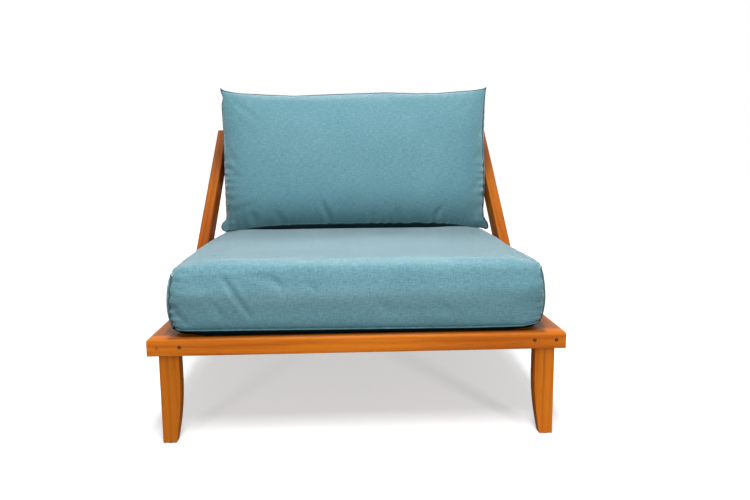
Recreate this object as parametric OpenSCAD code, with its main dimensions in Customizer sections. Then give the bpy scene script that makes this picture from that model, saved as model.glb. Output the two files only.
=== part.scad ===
// Outdoor lounge chair with loose cushions on a slatted timber platform.
// Four tapered legs, a plugged front rail, two sloping side braces and a slatted back.
// Origin on the floor under the middle of the platform, front towards -Y, +Z up.

/* [Platform] */
// Width across the side boards
frame_w = 850; // [760:1:1100]
// Depth from the front face to the rear face
frame_d = 850; // [820:1:1000]
// Height of the rails and the side boards
rail_h = 36.5; // [32:0.5:45]
// Thickness of the rails from front to back
rail_t = 28; // [24:1:36]
// Width of the flat side boards
side_w = 90; // [84:1:110]
// Radius on the outer top edges of the platform
top_r = 7; // [3:0.5:12]
// Radius on the eased edges of every board
ease_r = 2; // [1:0.5:3]

/* [Legs] */
// Height of a leg over its glide
leg_h = 184; // [150:1:300]
// Width of a leg at its top
leg_w = 40; // [36:1:50]
// Depth of a leg at its top
leg_d = 30; // [28:1:34]
// How much narrower a leg is at its foot
leg_taper_w = 13; // [6:1:16]
// How much shallower a leg is at its foot
leg_taper_d = 9; // [4:1:10]
// Height at which the taper starts
taper_h = 130; // [90:1:140]
// Distance of a leg from the end of its rail
leg_in = 22; // [16:1:28]
// Distance of a leg behind the face of its rail
leg_back = 5; // [3:0.5:6]
// Diameter of the glide under a leg
glide_d = 15; // [12:0.5:17]
// Thickness of the glide
glide_t = 2; // [1.5:0.5:4]

/* [Seat slats] */
// Number of seat slats
slat_n = 8; // [6:1:9]
// Width of a seat slat
slat_w = 70; // [50:1:74]
// Thickness of a seat slat
slat_t = 16; // [12:1:18]
// Width of the side bearers
bearer_w = 22; // [18:1:30]
// Width of the centre bearer
centre_w = 40; // [32:1:60]
// Gap at each end of a slat
slat_end_gap = 1; // [0.5:0.5:3]

/* [Braces and back] */
// Slope of the side braces
brace_angle = 41; // [38:0.5:43]
// Width of a brace, square to its slope
brace_w = 60; // [50:1:64]
// Thickness of a brace
brace_t = 28; // [24:1:32]
// Distance from the front face to the foot of a brace
brace_foot = 341; // [320:1:380]
// Width of a rear post from front to back
post_w = 72; // [66:1:76]
// Thickness of a rear post
post_t = 28; // [24:1:32]
// Drop from the top of the brace to the top of the post
post_drop = 8; // [4:1:14]
// Height of a back slat
back_slat_h = 60; // [50:1:64]
// Thickness of a back slat
back_slat_t = 16; // [14:1:18]
// Gap between the back slats
back_slat_gap = 30; // [26:1:34]
// Distance from the end of a back slat to the brace beside it
back_slat_in = 7; // [2:1:8]

/* [Seat cushion] */
// Gap between the cushion and the brace on each side
seat_side_gap = 9; // [7:1:50]
// Distance of the cushion's front behind the front face
seat_front_in = 5; // [0:1:60]
// Height of the cushion's sides
seat_edge_h = 120; // [90:1:150]
// Rise of the top seam's fold over the sides
seat_fold = 13; // [8:1:18]
// Rise of the crown over the fold
seat_crown = 9; // [4:1:16]
// Extra rise of the top between the front and rear edges
seat_puff = 8; // [2:1:14]
// Height of the bottom seam over the flat underside
seat_lift = 11; // [6:1:16]
// Plan radius of the cushion's corners
seat_corner_r = 36; // [20:1:60]
// Thickness of the wrap between cover and foam
seat_wrap = 18; // [16:1:30]

/* [Back cushion] */
// Gap between the cushion and the brace on each side
back_side_gap = 12; // [10:1:60]
// Height of the cushion
back_h = 404; // [340:1:440]
// Thickness of the cushion
back_t = 160; // [120:1:166]
// Offset of the cushion from the middle of the chair
back_x = 6; // [-6:1:6]
// How far each side is drawn in between its corners
back_draw = 4; // [2:0.5:9]
// How far each corner's ear stands out sideways
back_ear = 2; // [1:0.5:5]
// How far each corner's ear stands out up and down
back_ear_up = 10; // [4:0.5:14]
// Width of the flat that the cushion stands on
back_flat = 7; // [4:0.5:12]

/* [Hardware] */
// Diameter of the wood plugs over the rail screws
plug_d = 8; // [7:0.5:9]
// Thickness of a wood plug
plug_t = 6; // [4:0.5:8]
// Distance of the outer rail screws from the rail's end
screw_out = 20; // [16:1:22]
// Distance between the two rail screws
screw_step = 45; // [42:1:50]
// Shank diameter of the rail screws
rail_screw_d = 4.5; // [4:0.5:5.5]
// Length of the rail screws under the head
rail_screw_l = 70; // [50:1:80]
// Diameter of the machine bolts
bolt_d = 6; // [5:0.5:7]
// Head diameter of the machine bolts
bolt_head_d = 13; // [12:0.5:14]
// Head thickness of the machine bolts
bolt_head_t = 3; // [2:0.5:4]
// Outer diameter of the threaded inserts
insert_d = 10; // [9:0.5:11]
// Length of the threaded inserts
insert_l = 16; // [12:1:18]
// Diameter of the dowels and hanger bolts in the legs
dowel_d = 8; // [6:0.5:9]
// Shank diameter of the slat screws
slat_screw_d = 4; // [3.5:0.5:5]
// Length of the slat screws
slat_screw_l = 28; // [24:1:30]

/* [Zips] */
// Distance of a zip's ends from the sides of its cushion
zip_in = 88; // [70:1:180]
// Height of the zip's tape
tape_h = 14; // [12:0.5:16]
// Thickness of the zip's tape
tape_t = 1.6; // [1:0.1:2]
// Height of the row of teeth
teeth_h = 4.5; // [3.5:0.5:5.5]
// Thickness of the row of teeth over the tape
teeth_t = 1.8; // [1.4:0.1:2.2]
// Length of a zip's puller
puller_l = 22; // [16:1:26]

/* [Hidden] */
$fn = 48;

// Clearances and small sizes shared by the joints
bore_gap = 0.1;
rest_gap = 0.3;
pin_gap = 0.08;
overrun = 1;
zip_gap = 0.35;

// Levels and reference planes
front_y = -frame_d / 2;
rear_y = frame_d / 2;
base_z = glide_t + leg_h;
deck_z = base_z + rail_h;
mid_z = base_z + rail_h / 2;
side_in = frame_w / 2 - side_w;
board_l = frame_d - 2 * rail_t;

// Legs
stem_d = glide_d / 3;
stem_l = glide_d;
foot_x = frame_w / 2 - leg_in - (leg_w - leg_taper_w) / 2;
foot_y = front_y + leg_back + (leg_d - leg_taper_d) / 2;
peg_bore_d = dowel_d + 2 * bore_gap;
insert_wall = 2;
leg_insert_d = peg_bore_d + 2 * insert_wall;
leg_wall = 5;
leg_bolt_share = 0.4;
leg_bolt_in = leg_back + leg_d * leg_bolt_share;
hanger_out = leg_in + leg_wall + leg_insert_d / 2;
dowel_out = leg_in + leg_w - leg_wall - dowel_d;
peg_up_share = 0.35;
peg_up = rail_h * peg_up_share;
peg_down = 26;
arc_facets = 360;

// Seat deck
bearer_h = rail_h - slat_t;
bearer_mid_z = base_z + bearer_h / 2;
slat_l = 2 * side_in - 2 * slat_end_gap;
slat_gap = (board_l - slat_n * slat_w) / (slat_n + 1);
slat_step = slat_w + slat_gap;
slat_head_d = slat_screw_d * 2;
slat_bore_d = slat_screw_d + 2 * bore_gap;
sink_share = 0.7;
slat_head_t = slat_screw_d * sink_share;
bearer_bite = 27;
peg_share = 0.6;
peg_l = rail_t * peg_share;

// Braces and back
brace_in = frame_w / 2 - brace_t;
brace_run = frame_d - brace_foot;
brace_rise = brace_run * tan(brace_angle);
brace_cut = brace_w / cos(brace_angle);
brace_sole = brace_w / sin(brace_angle);
brace_soft_r = 3;
post_x = brace_in - post_t / 2;
post_y = rear_y - post_w;
post_top = deck_z + brace_rise - post_drop;
back_face_y = post_y - back_slat_t;
back_n = 3;
back_rise = back_n * back_slat_h + (back_n - 1) * back_slat_gap;
back_low_z = post_top - ease_r - back_rise;
back_slat_l = 2 * (brace_in - back_slat_in);
zip_gap_z = back_low_z + back_slat_h + back_slat_gap / 2;
washer_d = bolt_head_d;
bolt_bore_d = bolt_d + 2 * bore_gap;
washer_t = 1.5;
nut_wall = 2.7;
nut_d = bolt_d + 2 * nut_wall;
nut_t = 5;
bolt_shares = [0.3, 0.7];
sole_bolt_shares = [0.48, 0.8];
post_bolt_y = post_y + bolt_head_d;

// Rail screws
screw_head_d = plug_d - 2 * bore_gap;
screw_head_t = 3;
screw_bore_d = rail_screw_d + 2 * bore_gap;
screw_xs = [for (s = [-1, 1]) for (d = [screw_out, screw_out + screw_step]) s * (frame_w / 2 - d)];

// Zip sliders and pullers
slider_l = 10;
slider_wall = 1.8;
slider_h = teeth_h + 2 * zip_gap + 2 * slider_wall;
slider_t = teeth_t + slider_wall;
ear_l = 3.6;
ear_h = 1.8;
pull_pin_r = 0.8;
pin_y = tape_t + zip_gap + slider_t + ear_l / 2;
zip_reach = pin_y + ear_l / 2;

// Seat cushion: where it lies and how its rings are spaced
seat_seam_in = 6;
seat_rest_in = 60;
seat_fold_in = 18;
seat_w = 2 * (brace_in - seat_side_gap);
seat_rear_y = back_face_y - zip_reach - rest_gap;
seat_d = seat_rear_y - front_y - seat_front_in;
seat_y = seat_rear_y - seat_d / 2;
seat_z = deck_z + rest_gap;
seat_top = seat_edge_h + seat_fold + seat_crown + seat_puff;
seat_zip_z = (seat_lift + seat_edge_h) / 2;
zip_edge = 1;
zip_band = tape_h + 2 * zip_edge;
crown_in = seat_seam_in + seat_fold_in;
crown_power = 2.6;
puff_power = 4;
under_n = 3;
fold_n = 3;
crown_n = 5;
arc_n = 5;
edge_n = 8;
side_shares = [0.14, 0.3];

// Height of the seat cushion's top over its underside, on its middle line
function seat_top_at(y) =
    let (
        s = 2 * abs(y - seat_y) / seat_d,
        t = max(0, (seat_w / 2 * (1 - s) - crown_in) / (seat_w / 2 - crown_in))
    )
    seat_edge_h + seat_fold + seat_crown * (1 - pow(1 - t, crown_power))
    + seat_puff * (1 - pow(s, puff_power));

// Back cushion: how its rings are shaped, and where it leans and stands
back_round = 60;
back_rear_share = 0.6;
back_edge_share = 0.7;
back_power = 2.2;
bow_power = 4;
side_power = 8;
seam_power = 6;
ear_power = 24;
corner_share = 0.3;
rear_ring_share = 0.5;
face_shares = [0.15, 0.32, 0.52, 0.75];
rear_angles = [66, 44, 26, 11];
front_angles = [12, 28, 46, 66, 90];
fill_shares = [0.84, 0.8];
fill_depth_shares = [0.3, 0.8];
back_edge_n = 11;
back_w = 2 * (brace_in - back_side_gap);
back_rear_t = back_t * back_rear_share;
back_front_t = back_t - back_rear_t;
back_rear_y = back_face_y - rest_gap;
back_y = back_rear_y - back_rear_t;
flat_reach = back_front_t * back_edge_share * sin(acos(1 - back_flat / back_round));
back_stand = seat_z + seat_top_at(back_y - flat_reach) + rest_gap;
back_z = back_stand + back_h / 2 - back_flat;

// Colours as they look on the chair
timber = [0.73, 0.39, 0.09];
timber_dark = [0.42, 0.22, 0.08];
steel = [0.72, 0.73, 0.74];
cloth = [0.45, 0.63, 0.68];
foam = [0.93, 0.91, 0.82];
dark = [0.12, 0.13, 0.14];

// Rectangle from the origin, radii given as low left, low right, top right, top left
module rounded(w, h, r) {
    polygon([
        [r[0], 0], [w - r[1], 0], [w, r[1]], [w, h - r[2]],
        [w - r[2], h], [r[3], h], [0, h - r[3]], [0, r[0]]
    ]);
    translate([r[0], r[0]]) circle(r[0]);
    translate([w - r[1], r[1]]) circle(r[1]);
    translate([w - r[2], h - r[2]]) circle(r[2]);
    translate([r[3], h - r[3]]) circle(r[3]);
}

// Extrusions of a drawing, its second axis upwards
module along_x(l) {
    rotate([90, 0, 90]) linear_extrude(l) children();
}

module along_y(l) {
    translate([0, l, 0]) rotate([90, 0, 0]) linear_extrude(l) children();
}

// A bore or shank along each axis from its start point
module rod_x(p, d, l) {
    translate(p) rotate([0, 90, 0]) cylinder(d = d, h = l);
}

module rod_y(p, d, l) {
    translate(p) rotate([-90, 0, 0]) cylinder(d = d, h = l);
}

module rod_z(p, d, l) {
    translate(p) cylinder(d = d, h = l);
}

// The piece on one side of the chair, drawn for the right side
module side(s) {
    if (s > 0) children();
    else mirror([1, 0, 0]) children();
}

// The piece at one end of the chair, drawn for the front
module end(f) {
    if (f < 0) children();
    else mirror([0, 1, 0]) children();
}

// Rail at the front, with counterbores for the plugs and bores for the leg pegs
module rail_front() {
    soft = [ease_r, ease_r, ease_r, top_r];
    ends = [ease_r, ease_r, top_r, top_r];
    difference() {
        translate([-frame_w / 2, front_y, base_z]) intersection() {
            along_x(frame_w) rounded(rail_t, rail_h, soft);
            along_y(rail_t) rounded(frame_w, rail_h, ends);
        }
        for (x = screw_xs) {
            rod_y([x, front_y - overrun, mid_z], plug_d, plug_t + screw_head_t + overrun);
            rod_y([x, front_y, mid_z], screw_bore_d, rail_t + overrun);
        }
        for (s = [-1, 1]) {
            for (d = [hanger_out, dowel_out]) {
                x = s * (frame_w / 2 - d);
                rod_z([x, front_y + leg_bolt_in, base_z - overrun], peg_bore_d, peg_up + overrun);
            }
            rod_y([s * centre_w / 4, front_y + rail_t - peg_l, bearer_mid_z], peg_bore_d, peg_l + overrun);
        }
    }
}

module front_rail() {
    color(timber) rail_front();
}

module rear_rail() {
    color(timber) end(1) rail_front();
}

// Flat side board between the rails, bored for screws, bolts and slat bearers
module side_board(s) {
    soft = [ease_r, ease_r, top_r, ease_r];
    color(timber) side(s) difference() {
        translate([side_in, front_y + rail_t, base_z]) along_y(board_l) rounded(side_w, rail_h, soft);
        for (x = screw_xs) {
            if (x > 0) {
                hole_l = rail_screw_l + plug_t + screw_head_t - rail_t;
                rod_y([x, front_y + rail_t - overrun, mid_z], screw_bore_d, hole_l + overrun);
                rod_y([x, rear_y - rail_t - hole_l, mid_z], screw_bore_d, hole_l + overrun);
            }
        }
        for (p = sole_points()) {
            rod_z([p.x, p.y, base_z - overrun], bolt_bore_d, rail_h + 2 * overrun);
            rod_z([p.x, p.y, base_z - overrun], bolt_head_d + 2 * bore_gap, bolt_head_t + overrun);
        }
        for (i = [1:slat_n]) {
            rod_x([side_in - overrun, gap_y(i), bearer_mid_z], slat_bore_d, bearer_bite + overrun);
        }
    }
}

// Middle of the gap in front of a slat, and of the slat itself
function gap_y(i) = front_y + rail_t + slat_gap / 2 + (i - 1) * slat_step;
function slat_y(i) = front_y + rail_t + slat_gap + slat_w / 2 + (i - 1) * slat_step;

// Bolt places under the right brace and the right post
function sole_points() = concat(
    [for (k = sole_bolt_shares) [brace_in + brace_t / 2, front_y + brace_foot + k * brace_sole]],
    [[post_x, post_bolt_y]]
);

module bearer(s) {
    color(timber) side(s) difference() {
        translate([side_in - bearer_w, front_y + rail_t, base_z])
            along_y(board_l) rounded(bearer_w, bearer_h, [ease_r, ease_r, ease_r, ease_r] / 2);
        for (i = [1:slat_n]) {
            rod_x([side_in - bearer_w - overrun, gap_y(i), bearer_mid_z], slat_bore_d,
                bearer_w + 2 * overrun);
            translate([side_in - bearer_w, gap_y(i), bearer_mid_z]) rotate([0, 90, 0]) screw_seat();
            rod_z([side_in - bearer_w / 2, slat_y(i), deck_z - slat_screw_l], slat_bore_d,
                slat_screw_l);
        }
    }
}

// Seat for a countersunk head, its mouth at the origin and its shank along +Z
module screw_seat() {
    translate([0, 0, -bore_gap])
        cylinder(d1 = slat_head_d + 2 * bore_gap, d2 = slat_bore_d, h = slat_head_t + bore_gap);
}

// Countersunk screw with its head's face at the origin and its shank along +Z
module wood_screw(l) {
    tip = slat_screw_d;
    rotate_extrude() polygon([
        [0, 0], [slat_head_d / 2 - bore_gap, 0], [slat_screw_d / 2, slat_head_t],
        [slat_screw_d / 2, l - tip], [0, l]
    ]);
}

module bearer_centre() {
    color(timber) difference() {
        translate([-centre_w / 2, front_y + rail_t, base_z])
            along_y(board_l) rounded(centre_w, bearer_h, [ease_r, ease_r, ease_r, ease_r] / 2);
        for (i = [1:slat_n]) {
            rod_z([0, slat_y(i), deck_z - slat_screw_l], slat_bore_d, slat_screw_l);
        }
        for (s = [-1, 1]) {
            for (f = [-1, 1]) {
                end(f) rod_y([s * centre_w / 4, front_y + rail_t - overrun, bearer_mid_z],
                    peg_bore_d, peg_l + overrun);
            }
        }
    }
}

// Seat slat across the bearers, with three countersunk holes
module seat_slat(i) {
    color(timber) difference() {
        translate([-slat_l / 2, slat_y(i) - slat_w / 2, deck_z - slat_t])
            along_x(slat_l) rounded(slat_w, slat_t, [ease_r, ease_r, ease_r, ease_r]);
        for (x = slat_xs()) {
            rod_z([x, slat_y(i), deck_z - slat_t - overrun], slat_bore_d, slat_t + 2 * overrun);
            translate([x, slat_y(i), deck_z]) mirror([0, 0, 1]) screw_seat();
        }
    }
}

function slat_xs() = [-side_in + bearer_w / 2, 0, side_in - bearer_w / 2];

module seat_slat_screws() {
    color(steel) for (i = [1:slat_n]) {
        for (x = slat_xs()) {
            translate([x, slat_y(i), deck_z]) mirror([0, 0, 1]) wood_screw(slat_screw_l);
        }
    }
}

module bearer_screws() {
    color(steel) for (s = [-1, 1]) {
        for (i = [1:slat_n]) {
            side(s) translate([side_in - bearer_w, gap_y(i), bearer_mid_z]) rotate([0, 90, 0])
                wood_screw(bearer_w + bearer_bite);
        }
    }
}

module bearer_dowels() {
    color(timber_dark) for (f = [-1, 1]) {
        for (s = [-1, 1]) {
            end(f) rod_y([s * centre_w / 4, front_y + rail_t - peg_l, bearer_mid_z], dowel_d, 2 * peg_l);
        }
    }
}

// Outline of a leg from its straight outer edge, narrowing along an arc to the foot
module leg_outline(w, taper) {
    r = (taper_h * taper_h + taper * taper) / (2 * taper);
    translate([0, taper_h]) square([w, leg_h - taper_h]);
    intersection() {
        square([w, taper_h]);
        translate([w - r, taper_h]) circle(r, $fn = arc_facets);
    }
}

// Front right leg, its outer front corner straight and its two inner faces tapered
module leg(s, f) {
    color(timber) side(s) end(f) difference() {
        translate([frame_w / 2 - leg_in, front_y + leg_back, glide_t]) intersection() {
            mirror([1, 0, 0]) along_y(leg_d) leg_outline(leg_w, leg_taper_w);
            translate([-leg_w, 0, 0]) along_x(leg_w) leg_outline(leg_d, leg_taper_d);
        }
        rod_z([frame_w / 2 - hanger_out, front_y + leg_bolt_in, base_z - peg_down - bore_gap],
            leg_insert_d + 2 * bore_gap, peg_down + overrun);
        rod_z([frame_w / 2 - dowel_out, front_y + leg_bolt_in, base_z - peg_down - bore_gap],
            peg_bore_d, peg_down + overrun);
        rod_z([foot_x, foot_y, glide_t - overrun], stem_d + 2 * bore_gap, stem_l + overrun);
    }
}

module foot_glides() {
    color(dark) for (s = [-1, 1]) {
        for (f = [-1, 1]) {
            side(s) end(f) {
                rod_z([foot_x, foot_y, 0], glide_d, glide_t);
                rod_z([foot_x, foot_y, 0], stem_d, glide_t + stem_l - bore_gap);
            }
        }
    }
}

// Hanger bolt with its wood end in the rail and its machine end in the leg's insert
module leg_hanger_bolts() {
    color(steel) for (s = [-1, 1]) {
        for (f = [-1, 1]) {
            side(s) end(f) rod_z([frame_w / 2 - hanger_out, front_y + leg_bolt_in, base_z - peg_down],
                dowel_d, peg_down + peg_up);
        }
    }
}

module leg_inserts() {
    color(steel) for (s = [-1, 1]) {
        for (f = [-1, 1]) {
            side(s) end(f) difference() {
                rod_z([frame_w / 2 - hanger_out, front_y + leg_bolt_in, base_z - peg_down],
                    leg_insert_d, peg_down);
                rod_z([frame_w / 2 - hanger_out, front_y + leg_bolt_in, base_z - peg_down - overrun],
                    peg_bore_d, peg_down + 2 * overrun);
            }
        }
    }
}

module leg_dowels() {
    color(timber_dark) for (s = [-1, 1]) {
        for (f = [-1, 1]) {
            side(s) end(f) rod_z([frame_w / 2 - dowel_out, front_y + leg_bolt_in, base_z - peg_down],
                dowel_d, peg_down + peg_up);
        }
    }
}

module rail_screws() {
    color(steel) for (f = [-1, 1]) {
        for (x = screw_xs) {
            end(f) {
                rod_y([x, front_y + plug_t, mid_z], screw_head_d, screw_head_t);
                rod_y([x, front_y + plug_t, mid_z], rail_screw_d, rail_screw_l + screw_head_t - bore_gap);
            }
        }
    }
}

module rail_plugs() {
    color(timber_dark) for (f = [-1, 1]) {
        for (x = screw_xs) {
            end(f) rod_y([x, front_y, mid_z], plug_d - 2 * bore_gap, plug_t);
        }
    }
}

// Height of the brace's upper edge over the deck at a distance from its foot
function brace_up(run) = run * tan(brace_angle);

// Bolt places on the middle line of the brace, where it passes the post
brace_bolt_ys = [for (k = bolt_shares) post_y + k * post_w];
function brace_mid_z(y) = deck_z + brace_up(y - front_y - brace_foot) - brace_cut / 2;

// Sloping brace, level at its sole and plumb at its rear end
module brace(s) {
    soft = [brace_soft_r, brace_soft_r, brace_soft_r, brace_soft_r];
    span = brace_run / cos(brace_angle) + brace_w;
    color(timber) side(s) difference() {
        intersection() {
            translate([brace_in, front_y + brace_foot, deck_z]) along_x(brace_t) polygon([
                [0, 0], [brace_run, brace_rise], [brace_run, brace_rise - brace_cut], [brace_sole, 0]
            ]);
            translate([brace_in, front_y + brace_foot, deck_z]) rotate([brace_angle, 0, 0])
                translate([0, -brace_w, -brace_w]) along_y(span + brace_w) rounded(brace_t, brace_w, soft);
        }
        for (y = brace_bolt_ys) {
            rod_x([brace_in - overrun, y, brace_mid_z(y)], bolt_bore_d, brace_t + 2 * overrun);
            rod_x([frame_w / 2 - bolt_head_t, y, brace_mid_z(y)], bolt_head_d + 2 * bore_gap,
                bolt_head_t + overrun);
        }
        for (k = sole_bolt_shares) {
            p = [brace_in + brace_t / 2, front_y + brace_foot + k * brace_sole, deck_z - overrun];
            rod_z(p, insert_d + 2 * bore_gap, insert_l + overrun);
        }
    }
}

// Rear post on the side board, behind the back slats and inside the brace
module post(s) {
    soft = [ease_r, ease_r, ease_r, ease_r];
    color(timber) side(s) difference() {
        translate([brace_in - post_t, post_y, deck_z])
            linear_extrude(post_top - deck_z) rounded(post_t, post_w, soft);
        for (y = brace_bolt_ys) {
            rod_x([brace_in - post_t - overrun, y, brace_mid_z(y)], bolt_bore_d, post_t + 2 * overrun);
        }
        rod_z([post_x, post_bolt_y, deck_z - overrun], insert_d + 2 * bore_gap, insert_l + overrun);
        for (i = [1:back_n]) {
            for (z = back_screw_zs(i)) {
                rod_y([post_x, post_y - overrun, z], slat_bore_d,
                    slat_screw_l - back_slat_t + overrun);
            }
        }
    }
}

module brace_bolts() {
    color(steel) for (s = [-1, 1]) {
        for (y = brace_bolt_ys) {
            side(s) {
                rod_x([frame_w / 2 - bolt_head_t, y, brace_mid_z(y)], bolt_head_d, bolt_head_t);
                rod_x([brace_in - post_t - washer_t - nut_t, y, brace_mid_z(y)], bolt_d,
                    brace_t + post_t + washer_t + nut_t);
            }
        }
    }
}

module brace_washers() {
    color(steel) for (s = [-1, 1]) {
        for (y = brace_bolt_ys) {
            side(s) difference() {
                rod_x([brace_in - post_t - washer_t, y, brace_mid_z(y)], washer_d, washer_t);
                rod_x([brace_in - post_t - washer_t - overrun, y, brace_mid_z(y)], bolt_bore_d,
                    washer_t + 2 * overrun);
            }
        }
    }
}

module brace_nuts() {
    color(steel) for (s = [-1, 1]) {
        for (y = brace_bolt_ys) {
            side(s) difference() {
                translate([brace_in - post_t - washer_t - nut_t, y, brace_mid_z(y)]) rotate([0, 90, 0])
                    cylinder(d = nut_d, h = nut_t, $fn = 6);
                rod_x([brace_in - post_t - washer_t - nut_t - overrun, y, brace_mid_z(y)],
                    bolt_bore_d, nut_t + 2 * overrun);
            }
        }
    }
}

// Bolts up through the side boards into the inserts of the braces and the posts
module foot_bolts() {
    color(steel) for (s = [-1, 1]) {
        for (p = sole_points()) {
            side(s) {
                rod_z([p.x, p.y, base_z], bolt_head_d, bolt_head_t);
                rod_z([p.x, p.y, base_z], bolt_d, rail_h + insert_l - bore_gap);
            }
        }
    }
}

module foot_inserts() {
    color(steel) for (s = [-1, 1]) {
        for (p = sole_points()) {
            side(s) difference() {
                rod_z([p.x, p.y, deck_z], insert_d, insert_l - bore_gap);
                rod_z([p.x, p.y, deck_z - overrun], bolt_bore_d, insert_l + 2 * overrun);
            }
        }
    }
}

// Screw heights on a back slat
function back_slat_z(i) = back_low_z + (i - 1) * (back_slat_h + back_slat_gap);
function back_screw_zs(i) = [for (k = bolt_shares) back_slat_z(i) + k * back_slat_h];

module back_slat(i) {
    color(timber) difference() {
        translate([-back_slat_l / 2, back_face_y, back_slat_z(i)])
            along_x(back_slat_l) rounded(back_slat_t, back_slat_h, [ease_r, ease_r, ease_r, ease_r]);
        for (s = [-1, 1]) {
            for (z = back_screw_zs(i)) {
                rod_y([s * post_x, back_face_y - overrun, z], slat_bore_d,
                    back_slat_t + 2 * overrun);
                translate([s * post_x, back_face_y, z]) rotate([-90, 0, 0]) screw_seat();
            }
        }
    }
}

module back_slat_screws() {
    color(steel) for (s = [-1, 1]) {
        for (i = [1:back_n]) {
            for (z = back_screw_zs(i)) {
                translate([s * post_x, back_face_y, z]) rotate([-90, 0, 0])
                    wood_screw(slat_screw_l - bore_gap);
            }
        }
    }
}

// Signs of a rectangle's corners, anticlockwise from the first quadrant
corner_signs = [[1, 1], [-1, 1], [-1, -1], [1, -1]];

// Rounded rectangle about the origin as points, the same number on every ring
function ring_outline(hx, hy, r) = [
    for (q = [0:3])
        let (
            a = 90 * q,
            here = corner_signs[q],
            next = corner_signs[(q + 1) % 4],
            c = [here.x * (hx - r), here.y * (hy - r)],
            d = [next.x * (hx - r), next.y * (hy - r)],
            u = [cos(a + 90), sin(a + 90)]
        )
        each concat(
            [for (i = [0:arc_n]) c + r * [cos(a + 90 * i / arc_n), sin(a + 90 * i / arc_n)]],
            [for (j = [1:edge_n - 1]) (c * (edge_n - j) + d * j) / edge_n + r * u]
        )
];

// Closed skin of triangles over rings of m points, from the low pole to the high pole
function skin_faces(m, k) = concat(
    [for (i = [0:m - 1]) [0, 1 + i, 1 + (i + 1) % m]],
    [for (j = [0:k - 2]) for (i = [0:m - 1])
        [1 + j * m + i, 1 + (j + 1) * m + i, 1 + (j + 1) * m + (i + 1) % m]],
    [for (j = [0:k - 2]) for (i = [0:m - 1])
        [1 + j * m + i, 1 + (j + 1) * m + (i + 1) % m, 1 + j * m + (i + 1) % m]],
    [for (i = [0:m - 1]) [1 + k * m, 1 + (k - 1) * m + (i + 1) % m, 1 + (k - 1) * m + i]]
);

// Inset and height of the seat cushion's rings, from the flat underside to the crown
under_rings = [for (i = [0:under_n])
    let (t = i / under_n)
    [seat_rest_in + (seat_seam_in - seat_rest_in) * t, seat_lift * t * t]
];
function side_ring(t) = [seat_seam_in * (1 - sin(180 * t)), seat_lift + (seat_edge_h - seat_lift) * t];
low_rings = [for (t = side_shares) side_ring(t)];
band_rings = [for (s = [-1, 1]) [0, seat_zip_z + s * zip_band / 2]];
high_rings = [for (i = [1:len(side_shares)]) side_ring(1 - side_shares[len(side_shares) - i])];
fold_rings = [for (i = [0:fold_n])
    let (a = 90 * i / fold_n)
    [seat_seam_in + seat_fold_in * (1 - cos(a)), seat_edge_h + seat_fold * sin(a)]
];
crown_rings = [for (i = [1:crown_n])
    let (t = i / (crown_n + 1))
    [
        crown_in + (seat_w / 2 - crown_in) * t,
        seat_edge_h + seat_fold + seat_crown * (1 - pow(1 - t, crown_power))
    ]
];
seat_rings = concat(under_rings, low_rings, band_rings, high_rings, fold_rings, crown_rings);

// Extra height of a point on the cushion's top, none along the front and rear edges
function puff_rise(y, z) = z <= seat_edge_h ? 0
    : seat_puff * (1 - pow(abs(2 * y / seat_d), puff_power)) * min(1, (z - seat_edge_h) / seat_fold);

// Crowned box cushion with drawn-in seams above and below its sides
module seat_form() {
    base = ring_outline(seat_w / 2, seat_d / 2, seat_corner_r);
    pts = concat(
        [[0, 0, 0]],
        [for (r = seat_rings) for (p = base)
            let (s = 1 - 2 * r[0] / seat_w)
            [p.x * s, p.y * s, r[1] + puff_rise(p.y * s, r[1])]],
        [[0, 0, seat_top]]
    );
    translate([0, seat_y, seat_z]) polyhedron(pts, skin_faces(len(base), len(seat_rings)));
}

// Foam block inside the wrap
module seat_block(gap) {
    low = seat_wrap + gap;
    translate([0, seat_y, seat_z + seat_lift + gap])
        linear_extrude(seat_edge_h - seat_lift - 2 * gap)
            square([seat_w - 2 * low, seat_d - 2 * low], center = true);
}

module seat_cover() {
    color(cloth) difference() {
        seat_form();
        seat_block(0);
    }
}

module seat_foam() {
    color(foam) seat_block(bore_gap);
}

// Edge of the unit square as points, corner first on each side
unit_edge = [for (q = [0:3]) for (j = [0:back_edge_n - 1])
    let (t = -1 + 2 * j / back_edge_n, a = q * 90)
    [cos(a) - t * sin(a), sin(a) + t * cos(a)]
];

// Point of a back cushion ring at an inset from the seam and a scale of what is left
function puff_point(e, inset, s) =
    let (
        k = corner_share * min(1, inset / back_round),
        seam = pow(max(0, 1 - inset / back_round), seam_power),
        corner = pow(abs(e.x * e.y), ear_power),
        ux = e.x * sqrt(1 - k * e.y * e.y / 2),
        uy = e.y * sqrt(1 - k * e.x * e.x / 2),
        inx = back_draw * (1 - pow(abs(e.y), bow_power)) * pow(abs(e.x), side_power),
        iny = back_draw * (1 - pow(abs(e.x), bow_power)) * pow(abs(e.y), side_power)
    )
    [
        s * ux * (back_w / 2 - inset) - sign(e.x) * seam * (inx - back_ear * corner),
        s * uy * (back_h / 2 - inset) - sign(e.y) * seam * (iny - back_ear_up * corner)
    ];

// Inset, scale and depth of the back cushion's rings, from the flat rear to the crowned front
rear_rings = concat(
    [[back_round, rear_ring_share, -back_rear_t], [back_round, 1, -back_rear_t]],
    [for (a = rear_angles) [back_round * (1 - cos(a)), 1, -back_rear_t * sin(a)]]
);
edge_rings = [for (a = front_angles)
    [back_round * (1 - cos(a)), 1, back_front_t * back_edge_share * sin(a)]
];
face_rings = [for (t = face_shares)
    [back_round, 1 - t, back_front_t * (1 - (1 - back_edge_share) * pow(1 - t, back_power))]
];
back_rings = concat(rear_rings, [[0, 1, 0]], edge_rings, face_rings);

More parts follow.
